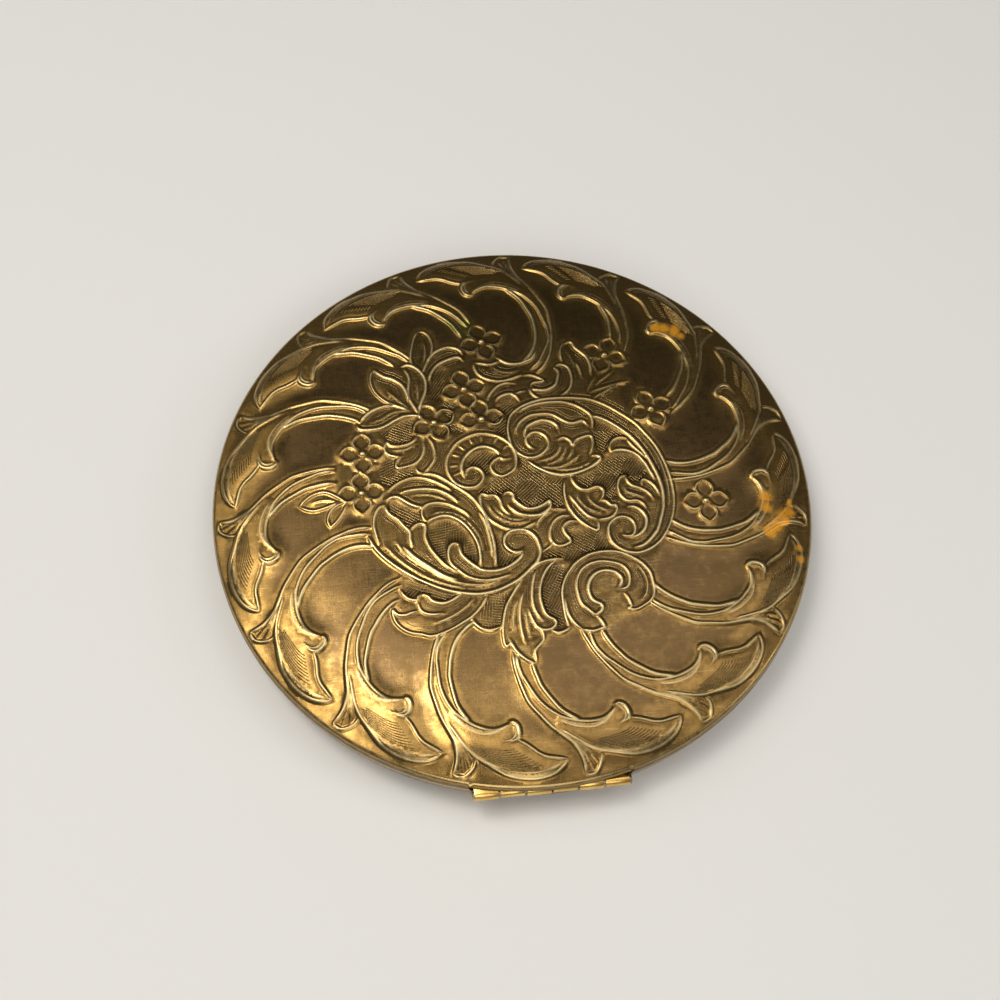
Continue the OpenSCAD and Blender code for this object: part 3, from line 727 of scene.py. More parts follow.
hair(-14.3, -3.7, -12.9, -3.3, -11.1, -3.6, -9.3, -4.6, -7.9, -6.4, -7, -8.2, -6.7, -10.7)
bold(
    -15.1, -4.8, -13.8, -4.25, -12.2, -4, -10.6, -4.6, -9.3, -5.7, -8.1, -7.5, -7.3, -9.6, -7.1, -11.6,
    -7.3, -13.7,
)
line(-22, -0.95, -23.1, -1.6, -23.8, -3, -24, -4.8, -23.7, -6.6, -23.4, -8)
bold(-21.8, -0.95, -21.7, -2.1, -20.9, -3.2, -20, -3.9, -19.05, -5.3, -18.25, -6.4, -18.25, -7.8, -18, -9.1)
line(
    -18.25, -6.4, -17.45, -5.4, -16.5, -5.05, -15.6, -5.4, -15.75, -7.5, -15.2, -9.6, -14, -11.6,
    -12.7, -13.2, -11.1, -14.4,
)
bold(
    -25, -6.6, -24.5, -8, -23.4, -9.8, -21.8, -11.6, -20, -13.2, -17.9, -14.8, -15.6, -16.2, -13.4, -17.3,
    -10.9, -18.1, -8.1, -18.6, -5.2, -18.3, -2.7, -17.4, -0.6, -16.2, 0.95, -14.8, 2.1, -13.7, 2.8, -12.1,
    2.7, -10.7, 2.3, -9.4, 1.2, -8.2, -0.2, -7.8, -1.8, -8, -2.7, -8.9, -2.9, -10.3, -2.2, -11.4,
    -1.1, -11.9, 0, -11.5,
)
bold(
    0, -11.6, -0.6, -12.8, -2, -13.9, -3.6, -14.6, -5.2, -14.8, -7, -14.5, -8.1, -13.7, -9.3, -12.5,
    -10.2, -11.2, -10.3, -9.5,
)
line(
    -10.3, -9.5, -11.3, -9.25, -12, -9.8, -12.3, -11.2, -12, -12.8, -10.9, -14.1, -9.5, -15.4,
    -7.45, -16.2, -5.2, -16.3, -2.7, -15.7,
)
hair(
    -20.6, -7.8, -19.7, -9.6, -18.4, -11.2, -16.3, -13, -14.3, -14.6, -12.2, -15.8, -10.2, -16.6,
    -7.45, -17, -4.7, -16.75,
)
bold(-19.3, -9.1, -17.9, -10.95, -15.6, -13, -13.4, -14.8, -11.5, -15.7)
hair(-22.3, -8.6, -20.6, -11, -18.4, -13.1, -16, -14.9, -13.3, -16.3, -10.4, -17.3)

# %% Medallion: hanging leaves below
line(-20.6, -16.6, -20.2, -17.5, -19.3, -18.3, -18.1, -18.6, -17.9, -18, -17.1, -17.7)
bold(-17.1, -17.7, -16.3, -18.2, -15.6, -19.1, -14, -19.6, -12.5, -19.25, -10.9, -18.2)
line(-18, -18.7, -18, -19.6, -17.45, -20.7, -16.1, -21.3, -14.3, -21.3)
line(
    -18.1, -20.5, -19.3, -20.7, -20.2, -20.95, -21.5, -20.7, -22.2, -19.8, -22, -21.6, -21.1, -23,
    -19.7, -24, -17.9, -24.5, -16.5, -25, -14.7, -24.7, -12.7, -24, -11.1, -23.2, -9.5, -22.3, -7.9, -20.7,
    -6.8, -18.9,
)
hair(-15.5, -22.8, -12.8, -22, -10.4, -20.6, -9, -19.3)
bold(-9.6, -22.8, -9.05, -23.9, -8.1, -24.7, -6.8, -25, -5.4, -24.6)
line(
    -0.9, -16.9, -2.45, -18.9, -3.8, -20.95, -4.5, -23, -4.95, -25.3, -4.95, -27.3, -4.7, -28,
    -4.05, -27.5, -3.9, -26.9,
)
bold(-3.9, -26.9, -3.6, -28.2, -2.7, -29.6, -1.5, -30.7, -0.4, -31.3)
line(
    -0.4, -31.3, -0.2, -30.5, -0.2, -29.1, 0.7, -28.2, 1.4, -27.3, 1.3, -25.95, 0.5, -25, -0.2, -23.2,
    -0.3, -21.9,
)
line(-0.9, -19.1, -1.8, -21.9, -2, -24.8, -1.7, -27.5)
hair(-2.2, -20.4, -3, -22.9, -3.2, -25.6)
hair(-1, -22, -0.9, -24.6, -0.7, -27)
line(-2, -17.3, 0.3, -15.5, 2.5, -14.1, 4.8, -13.7, 5.95, -13.7)
line(
    5.05, -14, 3.45, -15.3, 2.3, -17.3, 1.75, -19.6, 1.9, -21.9, 2.5, -23.45, 3.7, -24.4, 3.45, -25.3,
    2.5, -25.8, 1.4, -25.7, 0.5, -24.8,
)
line(1.6, -15.4, 1, -17, 0.7, -18.2, 0.4, -20.3, 0.7, -22.5, 1.6, -24.1)
bold(2.9, -25.95, 3.7, -26.5, 4.8, -26.4, 5.8, -25.7)
line(
    5.8, -25.6, 5.4, -24.1, 5.3, -21.9, 5.4, -19.6, 5.95, -17.8, 6.9, -16.2, 8.2, -14.8, 9.8, -13.8,
    11.6, -13.2, 13.7, -13.1, 15.7, -13.45, 17.5, -14.4, 19.1, -15.7, 20.2, -17.3, 20.5, -19.1,
    20.4, -20.95, 19.6, -22.3, 18.2, -23.2, 16.9, -23.7, 15.8, -23.45, 16.3, -23, 15.95, -21.6, 15.5, -20.7,
)
line(5.8, -20.7, 5.8, -23, 6.6, -25, 7.8, -26.3)
bold(7.8, -26.3, 9.4, -26.75, 10.7, -26.5, 11.4, -26.2, 10.95, -25, 10.5, -24.25)
line(
    10.4, -24.25, 9.4, -23.2, 8.3, -21.9, 7.9, -19.8, 8, -18, 8.9, -16.2, 10.3, -15.2, 12.3, -14.8,
    14.4, -15.2, 15.95, -15.95, 16.75, -17.3, 16.6, -18.9, 15.95, -19.8, 14.7, -19.9,
)
bold(
    10.05, -24, 10.95, -23.7, 11.6, -22.8, 11.4, -22.3, 10.3, -21.6, 9.8, -20.5, 9.8, -18.9, 10.5, -17.5,
    11.6, -16.75, 13, -16.5, 14.4, -16.9, 15.3, -17.8, 15.4, -18.45, 14.8, -19.6,
)
hair(18.1, -15.7, 19.1, -17.3, 19.5, -19.1, 19.1, -20.95, 18.1, -22.1)

# %% Medallion: crest of leaves at the top
bold(0, 26.2, 0.95, 25.2, 2.1, 24.6, 3.5, 24.5, 4.8, 24.8, 5.95, 25.4, 7.1, 27)
line(-4.05, 25.5, -2.7, 25.1, -1.3, 24.8, 0.4, 25.4)
line(-4.05, 25.5, -4.2, 24.5, -3.6, 22.9, -2.2, 21.8, -0.2, 21.2, 1.6, 21.4, 3.9, 22.2)
hair(-1.1, 24.5, -0.2, 23.4, 1.6, 22.8, 3.4, 23.2)
line(-2.7, 17.5, -1.8, 19.05, -0.2, 20.4, 2.1, 20.6)
bold(-1.3, 17.2, -0.2, 18.1, 1.4, 18.4, 2.3, 17.8, 2.8, 17.1)
line(2.3, 18.4, 3, 18.6, 4, 18.8)
line(4.1, 22, 5.7, 21.8, 7.1, 21, 7.5, 20.5, 5.5, 20.2, 5.3, 19.3)
bold(5.3, 19.3, 5.7, 18.9, 7.1, 18.6, 8.2, 18.8, 9.4, 19.5, 10.05, 20.9, 10.3, 22.2, 9.8, 23.1)
line(9.8, 23.1, 10.7, 23.7, 11.9, 23.25, 12.4, 22.2, 12.5, 20.6, 12.1, 19.05, 11.2, 17.9, 10.3, 17.5)
line(4.9, 19.3, 5.3, 17.9, 6.6, 17)
line(11.4, 24.3, 11.2, 25.9, 11.6, 27.5, 12.5, 28.25)
bold(12.5, 28.25, 13.5, 28.25, 13.9, 27.2, 14.8, 26.1, 15.7, 24.95, 16.1, 23.4, 15.95, 21.1)
line(13.5, 24, 14.1, 22.5, 14.25, 20.6)
hair(12.4, 26.4, 12.9, 24.9, 13.4, 23)
hair(16.6, 20.6, 14.8, 17.9)
hair(19.8, 21.5, 16.6, 19.05)
hair(22.1, 19.3, 18.45, 18.4, 15.3, 17.5)
hair(19.8, 18.4, 17.1, 17, 15.7, 16.3)
FINER = 0.86
medallion_count = len(strokes)
print("medallion strokes", medallion_count)

# %% [markdown]
# The nine flowers share one shape: four round petals about a bead. Each is placed by its middle and the
# direction of its first petal.

# %% Flowers
FLOWERS = [
    (-24.9, 9.2, 90), (-25.6, 1.7, 90), (-12.3, 14.0, 115), (-6.5, 20.2, 100), (-4.1, 13.9, 95),
    (-2.35, 29.85, 105), (19.0, 25.2, 65), (25.4, 13.4, 110), (31.9, -5.1, 90),
]
PETAL_SIDE = [(0.92, 0.66), (1.3, 1.12), (1.95, 1.46), (2.7, 1.38), (3.35, 0.85), (3.95, 0.0)]
HIDDEN_PETALS = {(4, 2)}
petals = [
    (fx, fy, math.radians(first + 90 * quarter))
    for index, (fx, fy, first) in enumerate(FLOWERS) for quarter in range(4)
    if (index, quarter) not in HIDDEN_PETALS
]


def on_petal(petal, points):
    """Points along and across a petal, as places on the lid."""
    fx, fy, angle = petal
    ca, sa = math.cos(angle), math.sin(angle)
    return [(fx + u * ca - v * sa, fy + u * sa + v * ca) for u, v in points]


for petal in petals:
    for side in (1, -1):
        strokes.append(("petal", on_petal(petal, [(u, side * v) for u, v in PETAL_SIDE])))
print("flowers", len(FLOWERS), "petals", len(petals))

# %% [markdown]
# The border's motif is written round the rim: an angle in degrees and a share of the lid's radius. It is
# turned fifteen times, and its stems stop where the medallion's outline begins.

# %% Border motif
MOTIFS = 15
MOTIF_TURN = 0.9
STEM = [
    (-4, 0.45), (-7, 0.48), (-8.4, 0.52), (-8.6, 0.555), (-8.3, 0.585), (-7.8, 0.62), (-6.8, 0.66),
    (-5.65, 0.70), (-4.3, 0.74), (-2, 0.78), (0.3, 0.82), (3, 0.86), (4.2, 0.88), (4.9, 0.90),
    (5.3, 0.925), (5.4, 0.95), (5.2, 0.974),
]
TRUMPET_SIDE = [(3.8, 0.874), (4.6, 0.892), (5.1, 0.912), (5.45, 0.935), (5.5, 0.955), (5.25, 0.974)]
TRUMPET_LIP = [(5.2, 0.974), (6.2, 0.979), (7.3, 0.975), (8.2, 0.960), (8.8, 0.942), (8.9, 0.924)]
LEAF_BACK = [
    (2.3, 0.835), (4.3, 0.861), (5.7, 0.88), (7, 0.897), (8.8, 0.915), (10.5, 0.927), (12, 0.938),
    (13.5, 0.950), (15, 0.960), (17, 0.967), (19, 0.970), (21, 0.969), (23, 0.963), (24.5, 0.953),
    (25.7, 0.938), (26.5, 0.921),
]
LEAF_BACK_EDGE = [
    (10, 0.920), (13.3, 0.941), (16, 0.951), (20, 0.953), (22, 0.948), (24, 0.939), (25.5, 0.927),
]
LEAF_FRONT = [
    (26.5, 0.921), (24.5, 0.914), (22.5, 0.907), (21, 0.895), (19.8, 0.880), (18.6, 0.867), (17.4, 0.858),
    (16.9, 0.853),
]
KNOB_OUTER = [
    (15.6, 0.860), (16.7, 0.853), (17.2, 0.842), (17.3, 0.828), (17.0, 0.811), (16.4, 0.802), (15.8, 0.798),
    (15.2, 0.802),
]
KNOB_INNER = [(14, 0.861), (15.3, 0.857), (16.2, 0.846), (16.5, 0.83), (16.1, 0.813), (15.3, 0.803)]
LONG_CURVE = [
    (1.5, 0.439), (-3.2, 0.477), (-5, 0.50), (-6.2, 0.54), (-7, 0.60), (-6, 0.645), (-5, 0.668),
    (-1.8, 0.736), (1.8, 0.784), (5, 0.807), (8.1, 0.822), (11.3, 0.828), (13.6, 0.819), (15.4, 0.802),
]
BODY_EDGE = [(2, 0.80), (5, 0.828), (9, 0.845), (12, 0.838), (14, 0.82), (15, 0.81)]
INNER_CURVE = [
    (1.4, 0.493), (-0.8, 0.52), (-2.3, 0.555), (-2.7, 0.59), (-2.3, 0.63), (-1.6, 0.66), (-0.8, 0.69),
    (1.3, 0.736), (3, 0.77), (5, 0.796), (6.5, 0.812),
]
BORDER = [
    ("line", STEM), ("line", TRUMPET_SIDE), ("line", TRUMPET_LIP), ("line", LEAF_BACK),
    ("hair", LEAF_BACK_EDGE),
    ("line", LEAF_FRONT), ("bold", KNOB_OUTER), ("hair", KNOB_INNER), ("line", LONG_CURVE),
    ("hair", BODY_EDGE),
    ("bold", INNER_CURVE),
]
ROLLS = [
    (0.50, 0.17, [(2, 0.792), (5, 0.818), (8.6, 0.834), (11.7, 0.833), (13.8, 0.82), (15.2, 0.808)]),
    (0.46, 0.17, [
        (14, 0.948), (16, 0.956), (18, 0.961), (20, 0.962), (22, 0.957), (23.8, 0.947), (25.2, 0.933),
    ]),
    (0.52, 0.18, [(3.4, 0.862), (4.6, 0.893), (5.4, 0.925), (5.8, 0.962)]),
    (0.52, 0.19, [(3.6, 0.862), (5.0, 0.893), (6.2, 0.925), (7.0, 0.964)]),
    (0.52, 0.18, [(3.8, 0.862), (5.4, 0.890), (7.0, 0.918), (8.1, 0.948)]),
    (0.42, 0.12, [(1.2, 0.82), (2.6, 0.842), (3.8, 0.866)]),
]
STEM_BODY = STEM[:14] + LONG_CURVE[:0:-1]
LEAF_BODY = STEM[6:15] + LEAF_BACK[4:] + LEAF_FRONT + KNOB_OUTER[2:] + LONG_CURVE[:6:-1]
MEDALLION_EDGE = [
    (26.4, 2), (26.6, -5), (24, -11), (20.5, -19), (20, -22), (16, -24), (11.5, -26.5), (6, -26), (1.4, -27),
    (-0.4, -31.3), (-5, -28), (-5.2, -24.6), (-9.6, -23), (-12, -24), (-16.5, -25), (-22, -21.5),
    (-20.6, -16.5), (-20.6, -14), (-25, -7), (-24, -3), (-27, -2.5), (-30, 2.5), (-29.5, 9.5), (-26.5, 13),
    (-25.2, 15), (-23, 17.5), (-19, 18.5), (-22.3, 23), (-21.8, 26), (-17, 26.3), (-15, 27), (-15, 31),
    (-13, 33.5), (-11, 31.5), (-11, 28.5), (-7, 29.3), (-6.5, 30), (-4, 34), (1.6, 31), (0.5, 26.3),
    (4, 24.6), (7.5, 21), (9.5, 23.5), (11.4, 24.5), (11.2, 27), (13, 28.4), (16, 25), (21.4, 22), (20, 17),
    (21, 12.5), (23.5, 9), (25.5, 5),
]


def inside(points, outline):
    """True for each point that lies inside the outline."""
    x, y = np.asarray(points, float).T
    result = np.zeros(len(x), bool)
    for (ax, ay), (bx, by) in zip(outline, outline[1:] + outline[:1]):
        crosses = (ay > y) != (by > y)
        rise = (by - ay) if by != ay else 1e-9
        result ^= crosses & (x < (bx - ax) * (y - ay) / rise + ax)
    return result


def in_border(points):
    """True for each point that lies outside the medallion and clear of the flowers."""
    free = ~inside(points, MEDALLION_EDGE)
    for fx, fy, first in FLOWERS:
        free &= np.hypot(*(points - (fx, fy)).T) >= FLOWER_REACH
    return free


def clear_runs(path, allowed):
    """The stretches of a path whose points are all allowed."""
    run = []
    for point, good in zip(path, allowed):
        if good:
            run.append(point)
        elif run:
            yield run
            run = []
    if run:
        yield run


def motif_path(motif, polar):
    """Places on the lid for one motif's list of (degrees, share of the radius)."""
    path = []
    for degrees, share in polar:
        angle = math.radians(degrees + MOTIF_TURN + 360 / MOTIFS * motif)
        path.append((share * LID_R * math.sin(angle), -share * LID_R * math.cos(angle)))
    return path


STEP = 0.28
FLOWER_REACH = 3.7
curves = [(weight, smooth(points, STEP)) for weight, points in strokes]
for motif in range(MOTIFS):
    for weight, polar in BORDER:
        curve = smooth(motif_path(motif, polar), STEP)
        for run in clear_runs(curve, in_border(curve)):
            if len(run) > 3:
                curves.append((weight, np.array(run)))
print("strokes in all", len(curves), "length", round(sum(len(c) for w, c in curves) * STEP), "mm")

# %% [markdown]
# The relief is worked out once on a fine grid: each short piece of a stroke raises a rounded ridge
# about itself, and the greatest height wins where ridges meet. The grid also keeps the distance to the
# nearest stroke, for the creases beside the ridges.

# %% Relief grid
CELL = 0.06
REACH = 1.5
FOOT = 1.15
CREASE = 0.025
GRID = int(2 * LID_R / CELL) + 1
ridge = np.zeros((GRID, GRID), np.float32)
crest_grid = np.zeros((GRID, GRID), np.float32)
distance = np.full((GRID, GRID), REACH, np.float32)
axis = (np.arange(GRID) * CELL - LID_R).astype(np.float32)
FULL_CREST = WEIGHTS["bold"][1]


def cells(low, high):
    """The grid cells from low to high along one axis, and REACH past both."""
    return max(0, int((low - REACH + LID_R) / CELL)), min(GRID, int((high + REACH + LID_R) / CELL) + 2)


def raise_ridge(curve, width, height, taper=0.9, shine=1.0, is_line=True):
    """A ridge along a curve, which tapers toward its ends; shine is how pale its crest is painted, for
    rubbing and as a painted highlight.
    """
    along = np.arange(len(curve)) * STEP
    ends = np.minimum(along, along[::-1])
    fade = np.clip(0.45 + 0.55 * ends / taper, 0, 1) if taper else np.ones(len(curve))
    for i in range(len(curve) - 1):
        a, b = curve[i], curve[i + 1]
        x0, x1 = cells(min(a[0], b[0]), max(a[0], b[0]))
        y0, y1 = cells(min(a[1], b[1]), max(a[1], b[1]))
        gx = axis[None, x0:x1] - a[0]
        gy = axis[y0:y1, None] - a[1]
        d = b - a
        t = np.clip((gx * d[0] + gy * d[1]) / max(float(d @ d), 1e-9), 0, 1)
        gap = np.hypot(gx - t * d[0], gy - t * d[1])
        size = fade[i] + (fade[i + 1] - fade[i]) * t
        bell = (1 - np.clip(gap / (FOOT * width * (0.6 + 0.4 * size)), 0, 1) ** 2) ** 2
        block = (slice(y0, y1), slice(x0, x1))
        ridge[block] = np.maximum(ridge[block], height * size * bell)
        # Crest paleness: rubbing, and a painted highlight on each ridge.
        rub_and_highlight = shine * bell * size * (0.55 + 0.45 * height / FULL_CREST)
        crest_grid[block] = np.maximum(crest_grid[block], rub_and_highlight)
        if is_line:
            distance[block] = np.minimum(distance[block], gap)


ROLL_SHINE = 0.62
rolls = []
for motif in range(MOTIFS):
    for width, height, polar in ROLLS:
        roll = smooth(motif_path(motif, polar), STEP)
        roll = roll[in_border(roll)]
        if len(roll) > 4:
            rolls.append(roll)
            raise_ridge(roll, width, height, 1.4, ROLL_SHINE, False)
for number, (weight, curve) in enumerate(curves):
    width, height = WEIGHTS[weight]
    raise_ridge(curve, width * (FINER if number < medallion_count else 1.0), height)
BEAD_RISE = 0.37
BEAD_WIDTH = 0.56
for fx, fy, first in FLOWERS:
    raise_ridge(np.array([(fx - 0.1, fy), (fx + 0.1, fy)]), BEAD_WIDTH, BEAD_RISE, 0)
print("highest ridge", round(float(ridge.max()), 3), "mm")

# %% [markdown]
# Between the ridges the sheet isn't flat: leaves and scroll bodies swell, petals dish, and the hatched
# ground of the medallion lies lower. Masks on the same grid say where, and a short blur softens them.

# %% Ground, bodies and petals
GROUND = [
    ((40, -48), [
        (-3.6, 2.2), (-1, 2.2), (1.2, 3.2), (1.4, 6.2), (2.8, 5.2), (4.3, 3.4), (6.4, 1.9), (8.6, 1.4),
        (8.3, 0.4), (7.9, -2), (7.9, -4), (6.5, -4.3), (5.6, -2.7), (3.6, -3.6), (1.6, -3.7), (0.0, -2.3),
        (-0.1, -1), (-1.8, -0.4), (-2.6, -1.6), (-3.6, -0.7), (-5.7, -0.3), (-7, -0.7), (-5, 1.2),
    ]),
    ((50, -42), [
        (14.9, 12), (16.9, 11.2), (18.9, 9.6), (20.6, 7.6), (22, 5.3), (22.9, 3.3), (22, 3.6), (20.9, 6.0),
        (20.3, 7.9), (18.8, 8.4), (17.4, 7.8), (16.8, 6.4), (15.5, 5.2), (14.8, 6.6), (14.7, 8.4),
        (14.4, 9.9),
    ]),
    ((50, -42), [
        (15.4, 4.2), (17.2, 5), (19, 5), (21, 4), (22, 2.5), (22.8, 0.8), (21.7, 0), (21, -0.8),
        (19.4, -0.3), (18.9, 1.2), (17.6, 0.4), (17.0, -1.2), (16.9, -3.4), (14.9, -3.6), (15.2, -1.4),
        (13.9, -0.6), (12.2, -1), (11.2, -0.6), (10.3, 1.3), (12, 1.6), (14, 2.6),
    ]),
    ((55, -35), [
        (3.2, -12.4), (4.6, -11.2), (5.4, -11.8), (6.8, -12), (8.3, -11), (8, -9.3), (9.5, -8.2),
        (11.8, -9.3), (13.3, -9.4), (13.9, -11), (14.4, -12.8), (11.6, -12.7), (9.4, -13.2), (7.7, -14.3),
        (6.2, -13.6), (4.6, -13.2), (3, -13.4),
    ]),
    ((58, -32), [
        (3.6, -14.6), (5.5, -14.4), (6.5, -15.6), (5.5, -17.8), (5.0, -19.7), (4.9, -22), (4.9, -24),
        (5.2, -25.2), (4, -25.9), (3.9, -24.4), (2.8, -23.2), (2.2, -21.6), (2.1, -19.6), (2.6, -17.2),
    ]),
    ((80, -12), [
        (-6.4, -18.9), (-3.2, -18.6), (-1.6, -18), (-3, -19.8), (-4.2, -21.4), (-4.9, -23.2),
        (-5.3, -24.3), (-6.7, -24.7), (-8, -24.3), (-9, -23), (-7.6, -21),
    ]),
    ((8, 82), [
        (-14.6, -5.4), (-12.2, -4.6), (-10.6, -5.3), (-9.4, -6.3), (-8.5, -7.8), (-7.7, -9.8), (-7.5, -11.8),
        (-7.7, -13.3), (-8.9, -12.2), (-9.8, -11), (-9.7, -9.4), (-10.9, -8.7), (-12.3, -9.2),
        (-12.8, -11), (-12.6, -12.4), (-14, -10.9), (-14.9, -9), (-15.3, -7),
    ]),
    ((42,), [
        (-7.6, 4.6), (-6.4, 5.1), (-5.1, 4.4), (-4.4, 2.9), (-3.9, 3), (-4.1, 4.6), (-3.2, 5.8),
        (-2.6, 6.6), (-3.4, 7.4), (-4.6, 7.9), (-5.9, 7.5), (-7, 6.6),
    ]),
    ((-28, 38), [
        (-19.8, 10.7), (-18.4, 10.4), (-16.7, 10.8), (-15.7, 12), (-14.9, 13.4), (-16, 15), (-18.6, 14.6),
        (-20.7, 13.6), (-21.5, 12.5),
    ]),
    ((20, -30), [
        (-22.6, 5.8), (-22.2, 3.3), (-20.5, 2.3), (-18.5, 3.4), (-16.4, 4), (-16.6, 5.3), (-17.6, 5.4),
        (-19.5, 5.3), (-19.7, 6.6), (-19.2, 7.5), (-21, 8),
    ]),
    ((55,), [
        (-12.5, 18.5), (-10.8, 17.8), (-9.8, 20), (-9.8, 22), (-9, 24.8), (-10.4, 24.9), (-11.4, 23.8),
        (-11.8, 22.2), (-12.5, 22.6), (-12.6, 20.6),
    ]),
    ((-35,), [
        (-21.2, -1), (-20.2, -0.4), (-18.8, -1.2), (-17.2, -2.2), (-15.9, -2.8), (-16.2, -3.9), (-15.6, -4.9),
        (-16.6, -4.6), (-17.6, -5), (-18.4, -5.8), (-19.6, -4), (-20.6, -3), (-21.2, -2),
    ]),
    ((-22, 40), [
        (-19.9, -16.7), (-19.6, -15.2), (-17.8, -15.4), (-15.6, -16.7), (-13.4, -17.8), (-11.4, -18.5),
        (-12.5, -18.8), (-14, -19.2), (-15.4, -18.7), (-16.2, -17.8), (-17.1, -17.3), (-18, -17.6),
        (-18.3, -18.2), (-19.3, -17.9), (-20, -17.3),
    ]),
    ((55,), [
        (-4.2, -8), (-3.3, -9), (-3.3, -10.4), (-2.4, -11.8), (-1.1, -12.3), (-0.9, -12.7), (-2.2, -13.5),
        (-3.8, -14.2), (-4.4, -13.8), (-4.2, -11.6),
    ]),
    ((35,), [(-3, 12), (0.2, 9.6), (0.4, 12), (1.4, 15), (2.3, 16.8), (0, 17), (-1.2, 15.2)]),
    ((50, -38), [
        (-9.5, 11.6), (-7.2, 11.4), (-8, 13.6), (-8.9, 16), (-7.6, 17.2), (-9.4, 18.6), (-11, 17),
        (-9.6, 14.4),
        (-11, 12.4), (-12.2, 11.6),
    ]),
]
BODY_SWELL = 0.09
MEDALLION_SWELL = 0.10
PANEL_SWELL = 0.62
PANEL_SOFTEN = 26
GROUND_SINK = 0.10
PETAL_SINK = 0.03
SOFTEN = 5
BODY_SOFTEN = 9


def mask_of(outlines):
    """1 inside any of the outlines, on the grid, each worked out in its own window."""
    mask = np.zeros((GRID, GRID), np.float32)
    for outline in outlines:
        low = np.floor((np.min(outline, axis=0) + LID_R) / CELL).astype(int)
        high = np.ceil((np.max(outline, axis=0) + LID_R) / CELL).astype(int) + 1
        low, high = np.maximum(low, 0), np.minimum(high, GRID)
        gx, gy = np.meshgrid(axis[low[0]:high[0]], axis[low[1]:high[1]])
        hit = inside(np.stack([gx.ravel(), gy.ravel()], 1), outline).reshape(gx.shape)
        window = mask[low[1]:high[1], low[0]:high[0]]
        window[hit] = 1
    return mask


def blurred(mask, reach):
    """A box blur along both ways, twice."""
    for _ in range(2):
        for way in (0, 1):
            edges = [(reach + 1, reach) if w == way else (0, 0) for w in (0, 1)]
            sums = np.cumsum(np.pad(mask, edges), axis=way)
            width = 2 * reach + 1
            ahead = np.take(sums, np.arange(width, width + GRID), axis=way)
            behind = np.take(sums, np.arange(GRID), axis=way)
            mask = (ahead - behind) / width
    return mask.astype(np.float32)


def motif_mask(polar):
    return mask_of([motif_path(motif, polar) for motif in range(MOTIFS)])


PETAL_LOOP = PETAL_SIDE + [(u, -v) for u, v in reversed(PETAL_SIDE[:-1])]
petal_outlines = [on_petal(petal, PETAL_LOOP) for petal in petals]
leaf_mask = motif_mask(LEAF_BODY)
ground_mask = mask_of([outline for angles, outline in GROUND])
petal_mask = mask_of(petal_outlines)
medallion_mask = mask_of([MEDALLION_EDGE])
body_mask = np.maximum(MEDALLION_SWELL * medallion_mask, BODY_SWELL * leaf_mask * (1 - medallion_mask))
body_mask *= 1 - np.maximum(ground_mask, petal_mask)
border_mask = np.maximum(leaf_mask, motif_mask(STEM_BODY)) * (1 - medallion_mask)
panel_soft = blurred(border_mask, PANEL_SOFTEN) * (1 - blurred(medallion_mask, PANEL_SOFTEN))
ground_soft = blurred(ground_mask, SOFTEN)
petal_soft = blurred(petal_mask, 2)
body_soft = blurred(body_mask, BODY_SOFTEN)
medallion_soft = blurred(medallion_mask, SOFTEN)


def ease(value, low, high):
    """A soft step from 0 at low to 1 at high."""
    t = np.clip((value - low) / (high - low), 0, 1)
    return t * t * (3 - 2 * t)


CREASE_FROM_LINE = 0.46
CREASE_WIDTH = 0.17
from_axis = np.hypot(*np.meshgrid(axis, axis))
crease = np.exp(-(((distance - CREASE_FROM_LINE) / CREASE_WIDTH) ** 2)) * (1 - np.clip(crest_grid * 2, 0, 1))
lift = ridge + body_soft * (1 - crest_grid)
lift += PANEL_SWELL * panel_soft * ease((LID_R - from_axis) / 3.0, 0.15, 1.0)
lift -= GROUND_SINK * ground_soft * ease(distance, 0.2, 0.6)
lift -= PETAL_SINK * petal_soft * ease(distance, 0.15, 0.8)
lift = blurred(lift - CREASE * crease, 1)
# The plain ground between the border's bodies, which the shader darkens with tarnish and painted shade.
panel_grid = (1 - blurred(border_mask, 12)) * (1 - medallion_soft) * ease(distance, 0.2, 1.3)
panel_grid *= 1 - ease(from_axis, 40.0, 47.5)
# Tarnish in the hollows, with painted shade in the creases beside the ridges.
hollow_and_shade_grid = np.clip(
    (0.40 + 0.28 * medallion_soft) * crease
    + (0.46 * ground_soft + 0.12 * petal_soft + 0.12 * medallion_soft) * (1 - crest_grid), 0, 1
)
print("relief from", round(float(lift.min()), 3), "to", round(float(lift.max()), 3), "mm")

# %% [markdown]
# The mesh puts its points where the shape needs them: a row along each crest, a row down each flank and
# a row at each foot, and a wide net between. A Delaunay triangulation joins them.

# %% Lid mesh points
DOME_RISE = 3.4
DOME_POWER = 3.68
RIM_Z = 8.9
SHOULDER_START = 50.115
RIM_STEPS = 336
NOTCH_ANGLE = 14.6

BIN = 0.2
taken = {}
found = []


def keep_point(x, y):
    taken.setdefault((int(x // BIN), int(y // BIN)), []).append((x, y))
    found.append((x, y))


def is_free(x, y, apart):
    """False near the shoulder, and where a kept point lies nearer than apart."""
    if x * x + y * y > (SHOULDER_START - 0.3) ** 2:
        return False
    bx, by = int(x // BIN), int(y // BIN)
    reach = int(apart // BIN) + 1
    for i in range(bx - reach, bx + reach + 1):
        for j in range(by - reach, by + reach + 1):
            for px, py in taken.get((i, j), ()):
                if (px - x) ** 2 + (py - y) ** 2 < apart * apart:
                    return False
    return True


def add_points(places, apart):
    for x, y in places:
        if is_free(float(x), float(y), apart):
            keep_point(float(x), float(y))


def normals_of(curve):
    """The direction to the left of a curve, at each of its points."""
    along = np.gradient(curve, axis=0)
    along /= np.maximum(np.hypot(along[:, 0], along[:, 1]), 1e-9)[:, None]
    return np.stack([-along[:, 1], along[:, 0]], 1)


